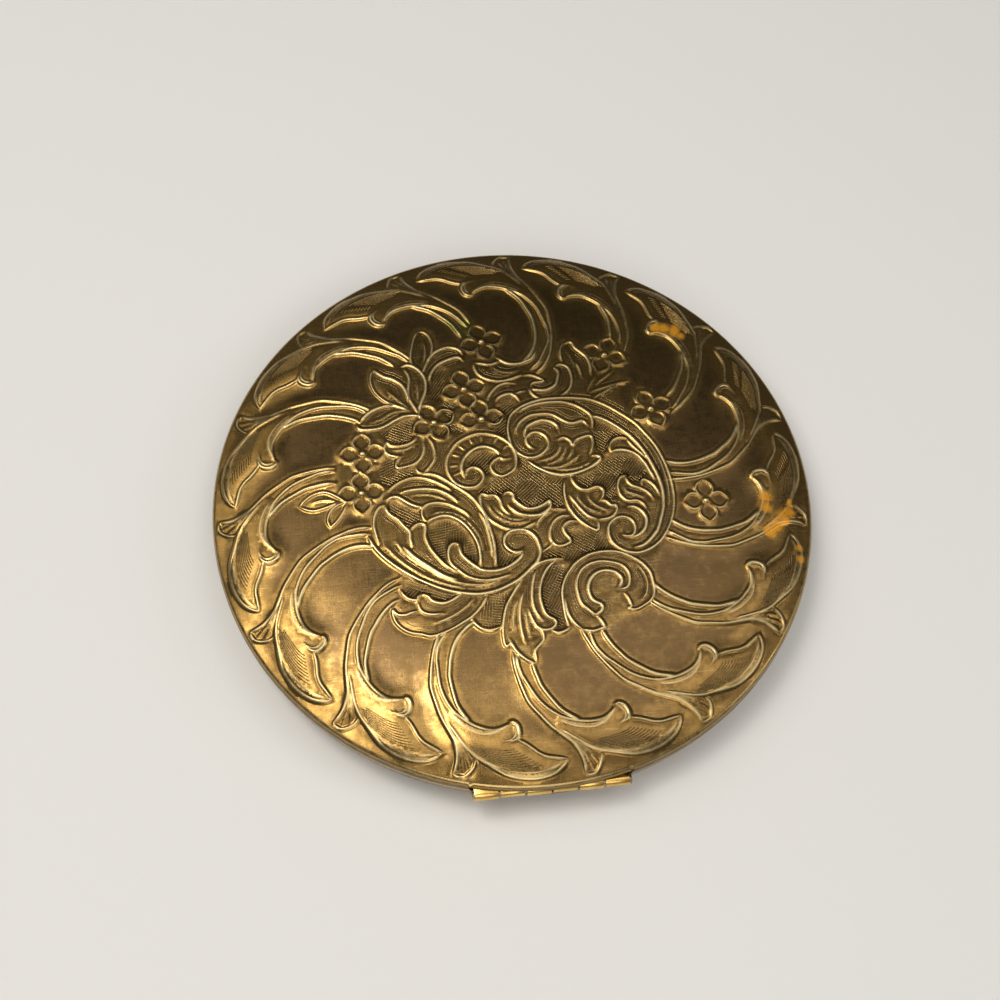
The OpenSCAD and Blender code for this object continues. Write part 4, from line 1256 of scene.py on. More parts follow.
notch_edges = {round(-90 - NOTCH_ANGLE, 3), round(-90 + NOTCH_ANGLE, 3)}
rim_angles = sorted({round(-180 + 360 * i / RIM_STEPS, 3) for i in range(RIM_STEPS)} | notch_edges)
for angle in rim_angles:
    keep_point(*on_circle(SHOULDER_START, angle))
for apart, shares in ((0.21, (0.0,)), (0.135, (-0.5, 0.5)), (0.15, (-1.0, 1.0)), (0.24, (-1.7, 1.7))):
    for weight, curve in curves:
        side = normals_of(curve) * WEIGHTS[weight][0]
        for share in shares:
            add_points(curve + side * share, apart)
    print("points so far", len(found))
for fx, fy, first in FLOWERS:
    for radius, count in ((0.0, 1), (0.25, 6), (0.5, 10), (0.75, 12)):
        turns = [math.tau * i / count for i in range(count)]
        add_points([(fx + radius * math.cos(t), fy + radius * math.sin(t)) for t in turns], 0.12)
for roll in rolls:
    for share in (0.0, -0.3, 0.3):
        add_points(roll + normals_of(roll) * share, 0.22)
print("points with rolls", len(found))
PETAL_NET = 0.3
ROW_SHARE = 0.866
for outline in petal_outlines:
    (x0, y0), (x1, y1) = np.min(outline, axis=0), np.max(outline, axis=0)
    net_x, net_y = np.meshgrid(np.arange(x0, x1, PETAL_NET), np.arange(y0, y1, PETAL_NET * ROW_SHARE))
    net_x[1::2] += PETAL_NET / 2
    spots = np.stack([net_x.ravel(), net_y.ravel()], 1)
    add_points(spots[inside(spots, outline)], 0.2)
print("points with petals", len(found))
NET = 0.62
rows = int(LID_R / (NET * ROW_SHARE)) + 1
for row in range(-rows, rows + 1):
    shift = 0.5 * (row % 2)
    add_points([((column + shift) * NET, row * NET * ROW_SHARE) for column in range(-rows, rows + 1)], 0.42)
print("points in all", len(found))


# %% Lid heights
def sample(grid, places):
    """The grid's value at each place, read between its cells."""
    x, y = places.T
    u = np.clip((x + LID_R) / CELL, 0, GRID - 1.001)
    v = np.clip((y + LID_R) / CELL, 0, GRID - 1.001)
    i, j = u.astype(int), v.astype(int)
    fu, fv = u - i, v - j
    return (
        grid[j, i] * (1 - fu) * (1 - fv) + grid[j, i + 1] * fu * (1 - fv)
        + grid[j + 1, i] * (1 - fu) * fv + grid[j + 1, i + 1] * fu * fv
    )


def dome(radius):
    return RIM_Z + DOME_RISE * (1 - (radius / LID_R) ** DOME_POWER)


def surface(places):
    """How high the stamped lid is at each place."""
    return dome(np.hypot(*places.T)) + sample(lift, places)


verts, edges, tris, *rest = delaunay_2d_cdt([Vector(p) for p in found], [], [], 0, 1e-6, False)
flat = np.array([(v[0], v[1]) for v in verts])
radius = np.hypot(*flat.T)
height = surface(flat)
crest, hollow_and_shade, panel = (sample(grid, flat) for grid in (crest_grid, hollow_and_shade_grid, panel_grid))
gilt = (1 - panel) * (1 - sample(medallion_soft, flat))
print("lid top faces", len(tris), "highest", round(float(height.max()), 3))

# %% [markdown]
# Below the dome the sheet rolls over a small shoulder into a short side band, which is cut away where
# the hinge sits. The rest of the lid is a plain lathe that shares the dome's outer ring of points.

# %% Lid shoulder, band and inner face
SHEET = 0.5
SHOULDER_R = 0.9
SHOULDER_MID = (49.9, 8.19)
LID_EDGE_Z = 6.95
NOTCH_Z = 8.05
LIP_R = 0.12
SHOULDER_HIGHLIGHT = 0.62
SIDE_SHADE = 0.85
DOME_SLOPE = math.atan(DOME_RISE * DOME_POWER / LID_R)

profile = []
for i in range(1, 9):
    angle = (math.pi / 2 - DOME_SLOPE) * (1 - i / 8)
    out, up = SHOULDER_R * math.cos(angle), SHOULDER_R * math.sin(angle)
    profile.append((SHOULDER_MID[0] + out, SHOULDER_MID[1] + up))
profile += [(LID_R, 7.6), (LID_R, LID_EDGE_Z + LIP_R)]
profile += [(LID_R - LIP_R, LID_EDGE_Z), (LID_R - SHEET, LID_EDGE_Z)]
INNER_R = LID_R - SHEET
for i in range(0, 15):
    r = INNER_R * math.cos(math.pi / 2 * i / 14) if i < 14 else 0.0
    profile.append((r, RIM_Z - SHEET + DOME_RISE * (1 - (r / INNER_R) ** DOME_POWER)))

ring = np.flatnonzero(radius > SHOULDER_START - 0.01).tolist()
columns = []
for angle, i in sorted((round(math.degrees(math.atan2(flat[i, 1], flat[i, 0])), 3), i) for i in ring):
    past = angle + 90
    if abs(abs(past) - NOTCH_ANGLE) < 0.01:
        order = (False, True) if past < 0 else (True, False)
        columns += [(angle, cut, i) for cut in order]
    else:
        columns.append((angle, abs(past) < NOTCH_ANGLE, i))
lid_points = [(float(x), float(y), float(z)) for (x, y), z in zip(flat, height)]
lid_faces = [tuple(face) for face in tris]
grid_rows = [[i for angle, cut, i in columns]]
for r, z in profile:
    row = []
    for angle, cut, i in columns:
        if r == 0.0 and row:
            row.append(row[0])
            continue
        row.append(len(lid_points))
        lid_points.append((*on_circle(r, angle), max(z, NOTCH_Z) if cut else z))
    grid_rows.append(row)
for upper, lower in zip(grid_rows, grid_rows[1:]):
    for i in range(len(columns)):
        j = (i + 1) % len(columns)
        add_face(lid_faces, upper[i], lower[i], lower[j], upper[j])
below = np.array([z for x, y, z in lid_points[len(flat):]])
# Painted highlight along the top of the shoulder, and painted shade down the side band.
shoulder_highlight = np.clip((below - 8.35) / 0.35, 0, 1) * SHOULDER_HIGHLIGHT
side_shade = np.clip((8.6 - below) / 0.4, 0, 1) * SIDE_SHADE
layers = {
    "crest": np.concatenate([crest, shoulder_highlight]).astype(np.float32),
    "hollow_and_shade": np.concatenate([hollow_and_shade, side_shade]).astype(np.float32),
    "panel": np.concatenate([panel, 0 * side_shade]).astype(np.float32),
    "gilt": np.concatenate([gilt, 1 + 0 * side_shade]).astype(np.float32),
}

NORMAL_STEP = 0.10


def slope(way):
    """How steeply the lid rises in one direction, at each point of its top."""
    ahead = NORMAL_STEP * np.array(way)
    return (surface(flat + ahead) - surface(flat - ahead)) / (2 * NORMAL_STEP)


true_normals = np.stack([-slope((1, 0)), -slope((0, 1)), np.ones(len(flat))], 1)
true_normals /= np.linalg.norm(true_normals, axis=1)[:, None]
true_normals[radius > SHOULDER_START - 0.4] = 0
lid_normals = np.zeros((len(lid_points), 3))
lid_normals[:len(flat)] = true_normals
piece(
    "stamped_lid", lid_points, lid_faces, lid_brass, "lid", ["lid_shell"], "aged_brass", 62.0, layers,
    lid_normals.tolist(),
)

# %% [markdown]
# Fine tool marks finish the stamping: hatching on the medallion's ground and striations in each border
# leaf. They are drawn as thin lines that lie on the relief, and Geometry Nodes gives each line its body.

# %% A tree that turns lines into ribs
class Growth(Tree):
    """A Geometry Nodes tree on one object, applied as soon as it is whole."""

    def __init__(self, name, inputs):
        tree = bpy.data.node_groups.new(name, "GeometryNodeTree")
        super().__init__(tree)
        tree.interface.new_socket("Geometry", in_out="INPUT", socket_type="NodeSocketGeometry")
        self.sockets = {}
        for label, kind in inputs.items():
            self.sockets[label] = tree.interface.new_socket(label, in_out="INPUT", socket_type=kind)
        tree.interface.new_socket("Geometry", in_out="OUTPUT", socket_type="NodeSocketGeometry")
        self.entry = tree.nodes.new("NodeGroupInput")
        self.exit = tree.nodes.new("NodeGroupOutput")

    def given(self, label):
        return Wire(self, self.entry.outputs[label])

    def out(self, geometry):
        self.put(self.exit.inputs[0], geometry)

    def grow(self, obj, values):
        """Runs the tree on the object and returns the plain mesh that comes out."""
        modifier = obj.modifiers.new("growth", "NODES")
        modifier.node_group = self.tree
        for label, value in values.items():
            modifier[self.sockets[label].identifier] = value
        bpy.context.view_layer.update()
        ready = obj.evaluated_get(bpy.context.evaluated_depsgraph_get())
        mesh = bpy.data.meshes.new_from_object(ready)
        obj.modifiers.clear()
        return mesh


def rib_tree():
    growth = Growth("ribs", {
        "Radius": "NodeSocketFloat", "Sides": "NodeSocketInt", "Finish": "NodeSocketMaterial",
    })
    lines = growth.node("GeometryNodeMeshToCurve", None, {"Mesh": growth.given("Geometry")})
    ring = growth.node(
        "GeometryNodeCurvePrimitiveCircle", None,
        {"Radius": growth.given("Radius"), "Resolution": growth.given("Sides")},
    )
    tube = {"Curve": lines, "Profile Curve": ring, "Fill Caps": True}
    body = growth.node("GeometryNodeCurveToMesh", None, tube)
    smooth_body = growth.node("GeometryNodeSetShadeSmooth", None, {"Geometry": body})
    whole = growth.node("GeometryNodeRealizeInstances", None, {"Geometry": smooth_body})
    dress = {"Geometry": whole, "Material": growth.given("Finish")}
    growth.out(growth.node("GeometryNodeSetMaterial", None, dress))
    return growth


ribs = rib_tree()
print("rib tree has", len(ribs.tree.nodes), "nodes")


def ribbed(name, points, edges, radius, sides, finish):
    """An object of thin ribs along lines, whose points are given in millimetres."""
    seed = bpy.data.meshes.new(name + "_lines")
    seed.from_pydata([tuple(value * MM for value in point) for point in points], edges, [])
    holder = added(name + "_lines", seed)
    mesh = ribs.grow(holder, {"Radius": radius * MM, "Sides": sides, "Finish": finish.material})
    bpy.data.objects.remove(holder)
    mesh.name = name
    print(name, len(points), "points on lines,", sum(len(f.vertices) - 2 for f in mesh.polygons), "triangles")
    return added(name, mesh)


# %% Hatching on the ground and striations in the leaves
HATCH_PITCH = 0.46
HATCH_OVERLAP = 0.35
HATCH_R = 0.075
HATCH_CLEAR = 0.40
STRIA_R = 0.09
STRIA_STEP = 0.7
STRIA_OUTER = [
    (6.2, 0.893), (8, 0.907), (10.5, 0.921), (13.3, 0.934), (16, 0.942), (19.0, 0.944), (21.6, 0.936),
]
STRIA_INNER = [
    (6.2, 0.884), (8, 0.884), (10, 0.884), (12, 0.885), (13.6, 0.886), (14.8, 0.885), (15.9, 0.881),
]
STRIA_LINES = 9
STRIA_POINTS = 20


def hatch_lines(outline, angle, hand):
    """Slightly wavy lines across an outline, in the patches that hand picks: 1, -1, or 0 for all."""
    corners = np.array(outline, float)
    middle = corners.mean(axis=0)
    reach = float(np.hypot(*(corners - middle).T).max())
    way = np.array(on_circle(1.0, angle))
    across = np.array([-way[1], way[0]])
    steps = np.arange(-reach, reach, 0.14)
    for count, offset in enumerate(np.arange(-reach, reach, HATCH_PITCH)):
        bend = 0.05 * np.sin(steps * 1.7 + count)
        track = middle + across * (offset + bend[:, None]) + steps[:, None] * way
        x, y = track.T
        patch = np.sin(0.95 * x + 0.45 * y) + np.sin(0.5 * x - 1.15 * y)
        clear = (sample(distance, track) > HATCH_CLEAR) & (patch * hand > -HATCH_OVERLAP)
        for run in clear_runs(track, inside(track, outline) & clear):
            if len(run) > 4:
                yield run[::4] + ([run[-1]] if (len(run) - 1) % 4 else [])


def lay_lines(name, lines, radius, lift_share, finish):
    """Lines laid on the relief, as thin four-sided ribs."""
    points, edges = [], []
    for path in map(np.array, lines):
        start = len(points)
        level = surface(path) + radius * lift_share
        points += [(float(x), float(y), float(z)) for (x, y), z in zip(path, level)]
        edges += [(i, i + 1) for i in range(start, len(points) - 1)]
    obj = ribbed(name, points, edges, radius, 4, finish)
    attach(obj, "lid")


def picked(path, count):
    """So many points of a path, spread along it."""
    return np.array([path[int(t * (len(path) - 1))] for t in np.linspace(0, 1, count)])


hatching = []
for angles, outline in GROUND:
    for angle, hand in zip(angles, (1, -1) if len(angles) > 1 else (0,)):
        hatching += hatch_lines(outline, angle, hand)
ENGRAVE_OFFSETS = (0.74, 1.2)
ENGRAVE_CLEAR = 0.62
ENGRAVE_R = 0.066
engraving = []
plain_mask = medallion_mask - ground_mask - petal_mask
for number, (weight, curve) in enumerate(curves[:medallion_count]):
    if len(curve) < 10:
        continue
    side = normals_of(curve)
    for place_index, offset in enumerate(ENGRAVE_OFFSETS):
        for hand in (1, -1):
            track = (curve + side * offset * hand)[2 + number % 3:-2]
            clear = sample(distance, track) > ENGRAVE_CLEAR + 0.3 * place_index
            for run in clear_runs(track, clear & (sample(plain_mask, track) > 0.9)):
                if len(run) > 9:
                    engraving.append(run)
striations = []
for motif in range(MOTIFS):
    outer = picked(smooth(motif_path(motif, STRIA_OUTER), STRIA_STEP), STRIA_POINTS)
    inner = picked(smooth(motif_path(motif, STRIA_INNER), STRIA_STEP), STRIA_POINTS)
    for k in range(STRIA_LINES):
        share = (k + 0.5) / STRIA_LINES
        first = int(2 + 5 * abs(2 * share - 1) + (k * 3) % 2)
        track = (outer * (1 - share) + inner * share)[first:]
        striations += [run for run in clear_runs(track, in_border(track)) if len(run) > 2]
lay_lines("ground_hatching", hatching, HATCH_R, 0.45, rib_brass)
lay_lines("leaf_engraving", engraving, ENGRAVE_R, 0.65, rib_brass)
lay_lines("leaf_striations", striations, STRIA_R, 0.2, rib_brass)

# %% [markdown]
# Round pieces other than the lid are turned from sections whose corners are eased, so that every edge
# catches a thin line of light. Openings are left in the turned wall where the hinge and latch pass.

# %% Helpers for sections, openings and bevelled blocks
def eased(section, reach, closed=True):
    """Each corner of the section becomes a small curve."""
    result = []
    count = len(section)
    for i, corner in enumerate(section):
        before, after = section[i - 1], section[(i + 1) % count]
        if not closed and i in (0, count - 1):
            result.append(corner)
            continue
        corner_v, before_v, after_v = (Vector((*p, 0.0)) for p in (corner, before, after))
        back = min(reach, (before_v - corner_v).length * 0.45)
        ahead = min(reach, (after_v - corner_v).length * 0.45)
        start = corner_v + (before_v - corner_v).normalized() * back
        end = corner_v + (after_v - corner_v).normalized() * ahead
        for t in (0.0, 0.33, 0.67, 1.0):
            spot = start * (1 - t) ** 2 + corner_v * 2 * t * (1 - t) + end * t * t
            result.append((spot.x, spot.y))
    return result


def pierced(section, openings, steps):
    """An open section from axis to axis, turned round Z, with openings (from, to, low, high) in its wall."""
    wall = 45.0
    marks = {round(-180 + 360 * i / steps, 4) for i in range(steps)}
    marks |= {round(edge, 4) for opening in openings for edge in opening[:2]}
    angles = sorted(marks)
    points, rows = [], []
    for r, z in section:
        if r < 1e-6:
            rows.append([len(points)] * len(angles))
            points.append((0.0, 0.0, z))
            continue
        rows.append(list(range(len(points), len(points) + len(angles))))
        points += [(*on_circle(r, a), z) for a in angles]
    top = max(range(len(section)), key=lambda k: section[k][1])
    faces = []

    def opened(i, k):
        middle = (angles[i] + (angles[i + 1] if i + 1 < len(angles) else 180)) / 2
        level = (section[k][1] + section[k + 1][1]) / 2
        in_wall = section[k][0] > wall and section[k + 1][0] > wall
        return any(a < middle < b and low < level < high and in_wall for a, b, low, high in openings)

    for k in range(len(section) - 1):
        for i in range(len(angles)):
            j = (i + 1) % len(angles)
            if not opened(i, k):
                add_face(faces, rows[k][i], rows[k + 1][i], rows[k + 1][j], rows[k][j])
    for a, b, low, high in openings:
        edge_rows = [k for k, (r, z) in enumerate(section) if r > wall and low - 1e-6 <= z <= high + 1e-6]
        outer = [k for k in edge_rows if k <= top]
        inner = [k for k in edge_rows if k > top]
        first, last = angles.index(round(a, 4)), angles.index(round(b, 4))
        for i in (first, last):
            faces.append(tuple(rows[k][i] for k in outer + inner))
        sills = [(outer[0], inner[-1])] + ([(outer[-1], inner[0])] if high < section[top][1] else [])
        for i in range(first, last):
            for near, far in sills:
                faces.append((rows[near][i], rows[near][i + 1], rows[far][i + 1], rows[far][i]))
    return points, outward(points, faces)


def bar(section, low, high, bevel, axis_name="X"):
    """A section (two other axes, in order) drawn out along one axis, with its end edges bevelled."""
    body = bmesh.new()
    at = "XYZ".index(axis_name)
    near = [body.verts.new((u, v)[:at] + (low,) + (u, v)[at:]) for u, v in section]
    far = [body.verts.new((u, v)[:at] + (high,) + (u, v)[at:]) for u, v in section]
    count = len(section)
    ends = [body.faces.new(near), body.faces.new(far[::-1])]
    for i in range(count):
        j = (i + 1) % count
        body.faces.new((near[j], near[i], far[i], far[j]))
    rims = [edge for end in ends for edge in end.edges]
    bmesh.ops.bevel(
        body, geom=rims, offset=bevel, segments=2, profile=0.5, affect="EDGES", clamp_overlap=True
    )
    bmesh.ops.recalc_face_normals(body, faces=body.faces)
    body.verts.index_update()
    points = [tuple(v.co) for v in body.verts]
    faces = [tuple(v.index for v in face.verts) for face in body.faces]
    body.free()
    return points, faces


def joined(parts):
    points, faces = [], []
    for some_points, some_faces in parts:
        start = len(points)
        points += some_points
        faces += [tuple(i + start for i in face) for face in some_faces]
    return points, faces


def box_section(u0, u1, v0, v1, round_by=0.08):
    return eased([(u0, v0), (u1, v0), (u1, v1), (u0, v1)], round_by)


# %% [markdown]
# The base is a spun pan: flat floor, a wide elliptical corner, a short wall and a rolled bead. Its wall
# is open at the back for the hinge and at the front for the latch button.

# %% Base pan
BASE_R = 50.5
BASE_FLAT_R = 40.3
BASE_CORNER_H = 5.0
BASE_H = 6.9
NOTCH_FLOOR_Z = 5.75
WINDOW_Z = (4.3, 5.7)
WINDOW_ANGLE = 3.52
PAN_NOTCH_ANGLE = 14.68
BEAD_WEAR_AND_HIGHLIGHT, WALL_RUB = 0.8, 0.12
BEAD_OUT = 0.25
BEAD_MIDDLE_Z = 6.55
BEAD_HALF_H = 0.35


def corner_rows(outer_r, floor_z):
    """Radius and height along the rounded corner, with a row at the window's sill."""
    width, rise = outer_r - BASE_FLAT_R, BASE_CORNER_H - floor_z
    turns = [math.pi / 2 * i / 14 for i in range(15)]
    turns.append(math.acos(1 - (WINDOW_Z[0] - floor_z) / rise))
    return [(BASE_FLAT_R + width * math.sin(t), floor_z + rise * (1 - math.cos(t))) for t in sorted(turns)]


bead = [
    (BASE_R + BEAD_OUT * math.cos(math.radians(a)), BEAD_MIDDLE_Z + BEAD_HALF_H * math.sin(math.radians(a)))
    for a in range(-90, 91, 20)
]
base_section = (
    [(0.0, 0.0), (20.0, 0.0)] + corner_rows(BASE_R, 0.0)
    + [(BASE_R, WINDOW_Z[1]), (BASE_R, NOTCH_FLOOR_Z)] + bead
    + [(BASE_R - 0.12, BASE_H + 0.02), (BASE_R - 0.4, BASE_H), (BASE_R - SHEET, BASE_H - 0.1)]
    + [(BASE_R - SHEET, NOTCH_FLOOR_Z), (BASE_R - SHEET, WINDOW_Z[1])]
    + corner_rows(BASE_R - SHEET, SHEET)[::-1] + [(20.0, SHEET), (0.0, SHEET)]
)
openings = [
    (90 - WINDOW_ANGLE, 90 + WINDOW_ANGLE, *WINDOW_Z),
    (-90 - PAN_NOTCH_ANGLE, -90 + PAN_NOTCH_ANGLE, NOTCH_FLOOR_Z, 99.0),
]
base_points, base_faces = pierced(base_section, openings, 192)
# The base's bead is painted pale, for rubbing and as a painted highlight.
base_wear_and_highlight = np.array([
    BEAD_WEAR_AND_HIGHLIGHT if z > 6.15 and math.hypot(x, y) > BASE_R - 0.05 else WALL_RUB for x, y, z in base_points
])
piece(
    "spun_base", base_points, base_faces, lid_brass, "base", ["base_shell"], "aged_brass", 50.0,
    {"crest": base_wear_and_highlight.astype(np.float32), "hollow_and_shade": np.zeros(len(base_points), np.float32)},
)

# %% [markdown]
# Each hinge leaf is one strip: a plate inside the wall, and tongues that curl round the pin to make the
# knuckles. The lid has the first, third and fifth, the base the others.

# %% Hinge
AXIS_Y, AXIS_Z = -50.0, 6.85
KNUCKLE_R = 1.0
BORE_R = 0.55
HINGE_W = 24.8
KNUCKLES = 6
SEAT = 0.05
LEAF_T = 0.4
LEAF_Y = -48.8
CURL_END = 382
KNUCKLE_GAP = 0.17


def curl(up):
    """The section of a knuckle in Y and Z: up is 1 for the lid's and -1 for the base's."""
    knuckle_r = KNUCKLE_R if up > 0 else KNUCKLE_R - 0.12
    turns = [math.radians(a) for a in range(90, CURL_END, 16)] + [math.radians(CURL_END)]
    outer = [(AXIS_Y + knuckle_r * math.cos(t), up * knuckle_r * math.sin(t)) for t in turns]
    inner = [(AXIS_Y + BORE_R * math.cos(t), up * BORE_R * math.sin(t)) for t in reversed(turns)]
    end_y = LEAF_Y + LEAF_T - 0.02
    strip = [(end_y, up * BORE_R), (end_y, up * (KNUCKLE_R - SEAT))]
    return [(y, AXIS_Z + z) for y, z in outer + inner + strip]


def knuckle_bars(indices, up):
    bars = []
    length = HINGE_W / KNUCKLES
    for index in indices:
        start = -HINGE_W / 2 + index * length
        bars.append(bar(curl(up), start + KNUCKLE_GAP, start + length - KNUCKLE_GAP, 0.16))
    return bars


upper_leaf = box_section(LEAF_Y, LEAF_Y + LEAF_T, AXIS_Z + BORE_R, AXIS_Z + BORE_R + 1.0)
lower_leaf = box_section(LEAF_Y, LEAF_Y + LEAF_T, AXIS_Z - BORE_R - 1.2, AXIS_Z - BORE_R)
lid_plate = bar(upper_leaf, -12.05, 12.05, 0.08)
base_plate = bar(lower_leaf, -10.55, 10.55, 0.08)
piece(
    "lid_hinge", *joined(knuckle_bars((0, 2, 4), 1) + [lid_plate]), hinge_brass, "lid",
    ["lid_hinge_leaf"], "hinge_brass", 40.0,
)
piece(
    "base_hinge", *joined(knuckle_bars((1, 3, 5), -1) + [base_plate]), hinge_brass, "base",
    ["base_hinge_leaf"], "hinge_brass", 40.0,
)
PIN_R = 0.5
PIN_HEAD_R = 0.8
half_pin = [
    (0.0, -12.7), (0.35, -12.69), (0.62, -12.62), (0.76, -12.52), (PIN_HEAD_R, -12.43), (0.74, -12.405),
    (PIN_R, -12.4),
]
pin_section = half_pin + [(r, -x) for r, x in reversed(half_pin)]
piece(
    "peened_pin", *spun(pin_section, 32, False, lambda x, y, z: (z, AXIS_Y + x, AXIS_Z + y)), pin_steel,
    "base", ["hinge_pin"], "pin_steel", 50.0,
)

# %% Latch button
HEAD_Y = (51.2, 52.1)
HEAD_Z = (4.2, 5.8)
HEAD_HALF_W = 4.0
HEAD_CORNER_R = 0.9
corner_turns = [on_circle(HEAD_CORNER_R, a) for a in range(0, 91, 15)]
right_end = [(HEAD_HALF_W - HEAD_CORNER_R + out, HEAD_Y[0] + up) for out, up in corner_turns]
head_outline = right_end + [(-x, y) for x, y in reversed(right_end)]
head = bar(head_outline, *HEAD_Z, 0.26, "Z")
neck = bar(box_section(-3.0, 3.0, 4.4, 5.6, 0.12), 49.6, HEAD_Y[0] + 0.3, 0.05, "Y")
FLANGE_Y = (49.5, 49.78)
inner_plate = bar(box_section(-4.0, 4.0, 4.3, 5.7, 0.12), *FLANGE_Y, 0.06, "Y")
piece(
    "push_button", *joined([head, neck, inner_plate]), hinge_brass, "latch", ["latch_button"],
    "hinge_brass", 40.0,
)

# %% [markdown]
# Behind the button lies a bow spring: its middle rests on a bracket and its arms press the button out.
# It rides on no body here: its place is baked into its mesh. The lid's catch tongue has a nib that the
# button's plate presses; it gets a mesh of its own.

# %% Bow spring and catch tongue
SPRING_T = 0.2
spring_low, spring_high = (c[2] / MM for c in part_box("latch_spring"))
spring_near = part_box("latch_spring")[0][1] / MM
spring_far = FLANGE_Y[0] - 0.02 - SPRING_T
bow = smooth([
    (-3.95, spring_far), (-3.5, spring_far - 0.05), (-2.75, spring_near + 0.55), (-1.7, spring_near + 0.06),
    (-1.0, spring_near), (0.0, spring_near), (1.0, spring_near), (1.7, spring_near + 0.06),
    (2.75, spring_near + 0.55), (3.5, spring_far - 0.05), (3.95, spring_far),
], 0.2)
bow_side = normals_of(bow) * SPRING_T
bow_outline = [tuple(p) for p in bow] + [tuple(p) for p in (bow + bow_side)[::-1]]
spring = piece(
    "bow_spring", *bar(bow_outline, spring_low, spring_high, 0.03, "Z"), spring_brass, None, ["latch_spring"],
    "spring_brass", 40.0,
)
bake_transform(spring)
tongue_low, tongue_high = (tuple(value / MM for value in corner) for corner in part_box("catch_tongue"))
TONGUE_T = 0.35
NIB_Z = (5.3, 5.75)
front_y = tongue_low[1] + TONGUE_T
tongue_section = eased([
    (tongue_low[1], tongue_low[2]), (front_y, tongue_low[2]), (front_y, NIB_Z[0]),
    (tongue_high[1] - 0.12, NIB_Z[0]), (tongue_high[1], NIB_Z[0] + 0.15), (tongue_high[1], NIB_Z[1]),
    (front_y, NIB_Z[1]), (front_y, tongue_high[2]), (tongue_low[1], tongue_high[2]),
], 0.05)
tongue = piece(
    "catch_blade", *bar(tongue_section, tongue_low[0], tongue_high[0], 0.06), spring_brass, "lid",
    ["catch_tongue"], "spring_brass", 40.0,
)
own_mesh(tongue)
print("spring lies between y", round(spring_near, 3), "and", round(spring_far, 3))
print("tongue lies from y", round(tongue_low[1], 3))

# %% [markdown]
# Inside, from the top: bevelled mirror, its ring, the ribboned puff, the sifter with its gauze, and the
# powder. The photograph doesn't show them, so they follow common practice for loose-powder compacts.

# %% Mirror and ring
MIRROR_BACK_Z = 10.147
MIRROR_FACE_Z = 9.047
BEVEL_W = 2.6
BEVEL_RISE = 0.3
mirror_edge = [
    (MIRROR_R - BEVEL_W, MIRROR_FACE_Z), (MIRROR_R, MIRROR_FACE_Z + BEVEL_RISE),
    (MIRROR_R, MIRROR_BACK_Z), (0.0, MIRROR_BACK_Z),
]
mirror_section = [(0.0, MIRROR_FACE_Z)] + eased(mirror_edge, 0.08, False)
piece(
    "bevelled_mirror", *spun(mirror_section, 160, False), mirror_finish, "lid", ["mirror_glass"],
    "mirror_silvered", 12.0,
)
RING_IN_R, RING_OUT_R = 40.0, 47.3
RING_Z = (8.597, 8.997)
ring_section = eased([
    (RING_IN_R, RING_Z[0] + 0.05), (RING_IN_R + 0.5, RING_Z[0]), (RING_IN_R + 1.0, RING_Z[0] + 0.05),
    (41.4, RING_Z[0] + 0.14), (45.6, RING_Z[0] + 0.14), (46.0, RING_Z[0] + 0.03), (46.5, RING_Z[0] + 0.03),
    (46.9, RING_Z[0] + 0.14), (RING_OUT_R, RING_Z[0] + 0.14), (RING_OUT_R, RING_Z[1]), (RING_IN_R, RING_Z[1]),
], 0.12)
piece("mirror_ring", *spun(ring_section, 160), deck_brass, "lid", ["mirror_bezel"], "inner_brass", 40.0)

# %% Sifter ring and hoop
sifter_section = eased([
    (39.0, 4.65), (40.3, 4.65), (40.3, 5.85), (39.9, 5.85), (39.9, 5.05), (39.0, 5.05),
], 0.1)
hoop_section = eased([(38.95, 5.3), (39.85, 5.3), (39.85, 5.8), (38.95, 5.8)], 0.16)
for name, section, node in (
    ("sifter_frame", sifter_section, "sifter_ring"), ("gauze_hoop", hoop_section, "sifter_hoop"),
):
    piece(name, *spun(section, 160), inner_brass, "base", [node], "inner_brass", 40.0)

# %% [markdown]
# The gauze is woven: each thread rises over one crossing thread and dips under the next. The lines are
# plain arithmetic, and the rib tree gives them their body.

# %% Woven gauze
GAUZE_R = 39.85
GAUZE_Z = 5.175
THREAD_PITCH = 0.9
THREAD_R = 0.036
thread_points, thread_edges = [], []
half_count = int(GAUZE_R / THREAD_PITCH)
for way in (0, 1):
    for k in range(-half_count, half_count + 1):
        offset = k * THREAD_PITCH
        reach = math.sqrt(max(GAUZE_R ** 2 - offset ** 2, 0)) - 0.02
        crossings = [c for c in range(-half_count, half_count + 1) if abs(c * THREAD_PITCH) < reach - 0.1]
        run = [(-reach, 0.0)]
        run += [(c * THREAD_PITCH, (1 if (c + k + way) % 2 else -1) * THREAD_R * 0.95) for c in crossings]
        run += [(reach, 0.0)]
        start = len(thread_points)
        for along, rise in run:
            x, y = (along, offset) if way == 0 else (offset, along)
            thread_points.append((x, y, GAUZE_Z + rise))
        thread_edges += [(i, i + 1) for i in range(start, len(thread_points) - 1)]
gauze = ribbed("woven_gauze", thread_points, thread_edges, THREAD_R, 3, gauze_finish)
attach(gauze, "base")
film_rows = [(GAUZE_R * k / 12, GAUZE_Z + 0.02) for k in range(13)]
film_rows += [(r, GAUZE_Z - 0.02) for r, z in reversed(film_rows)]
film = piece("silk_film", *spun(film_rows, 96, False), film_finish, "base", ["sifter_gauze"], "gauze_silk")
print("gauze threads", 2 * (2 * half_count + 1))

# %% Powder
POWDER_R = 40.5
POWDER_Z = (1.3, 3.72)


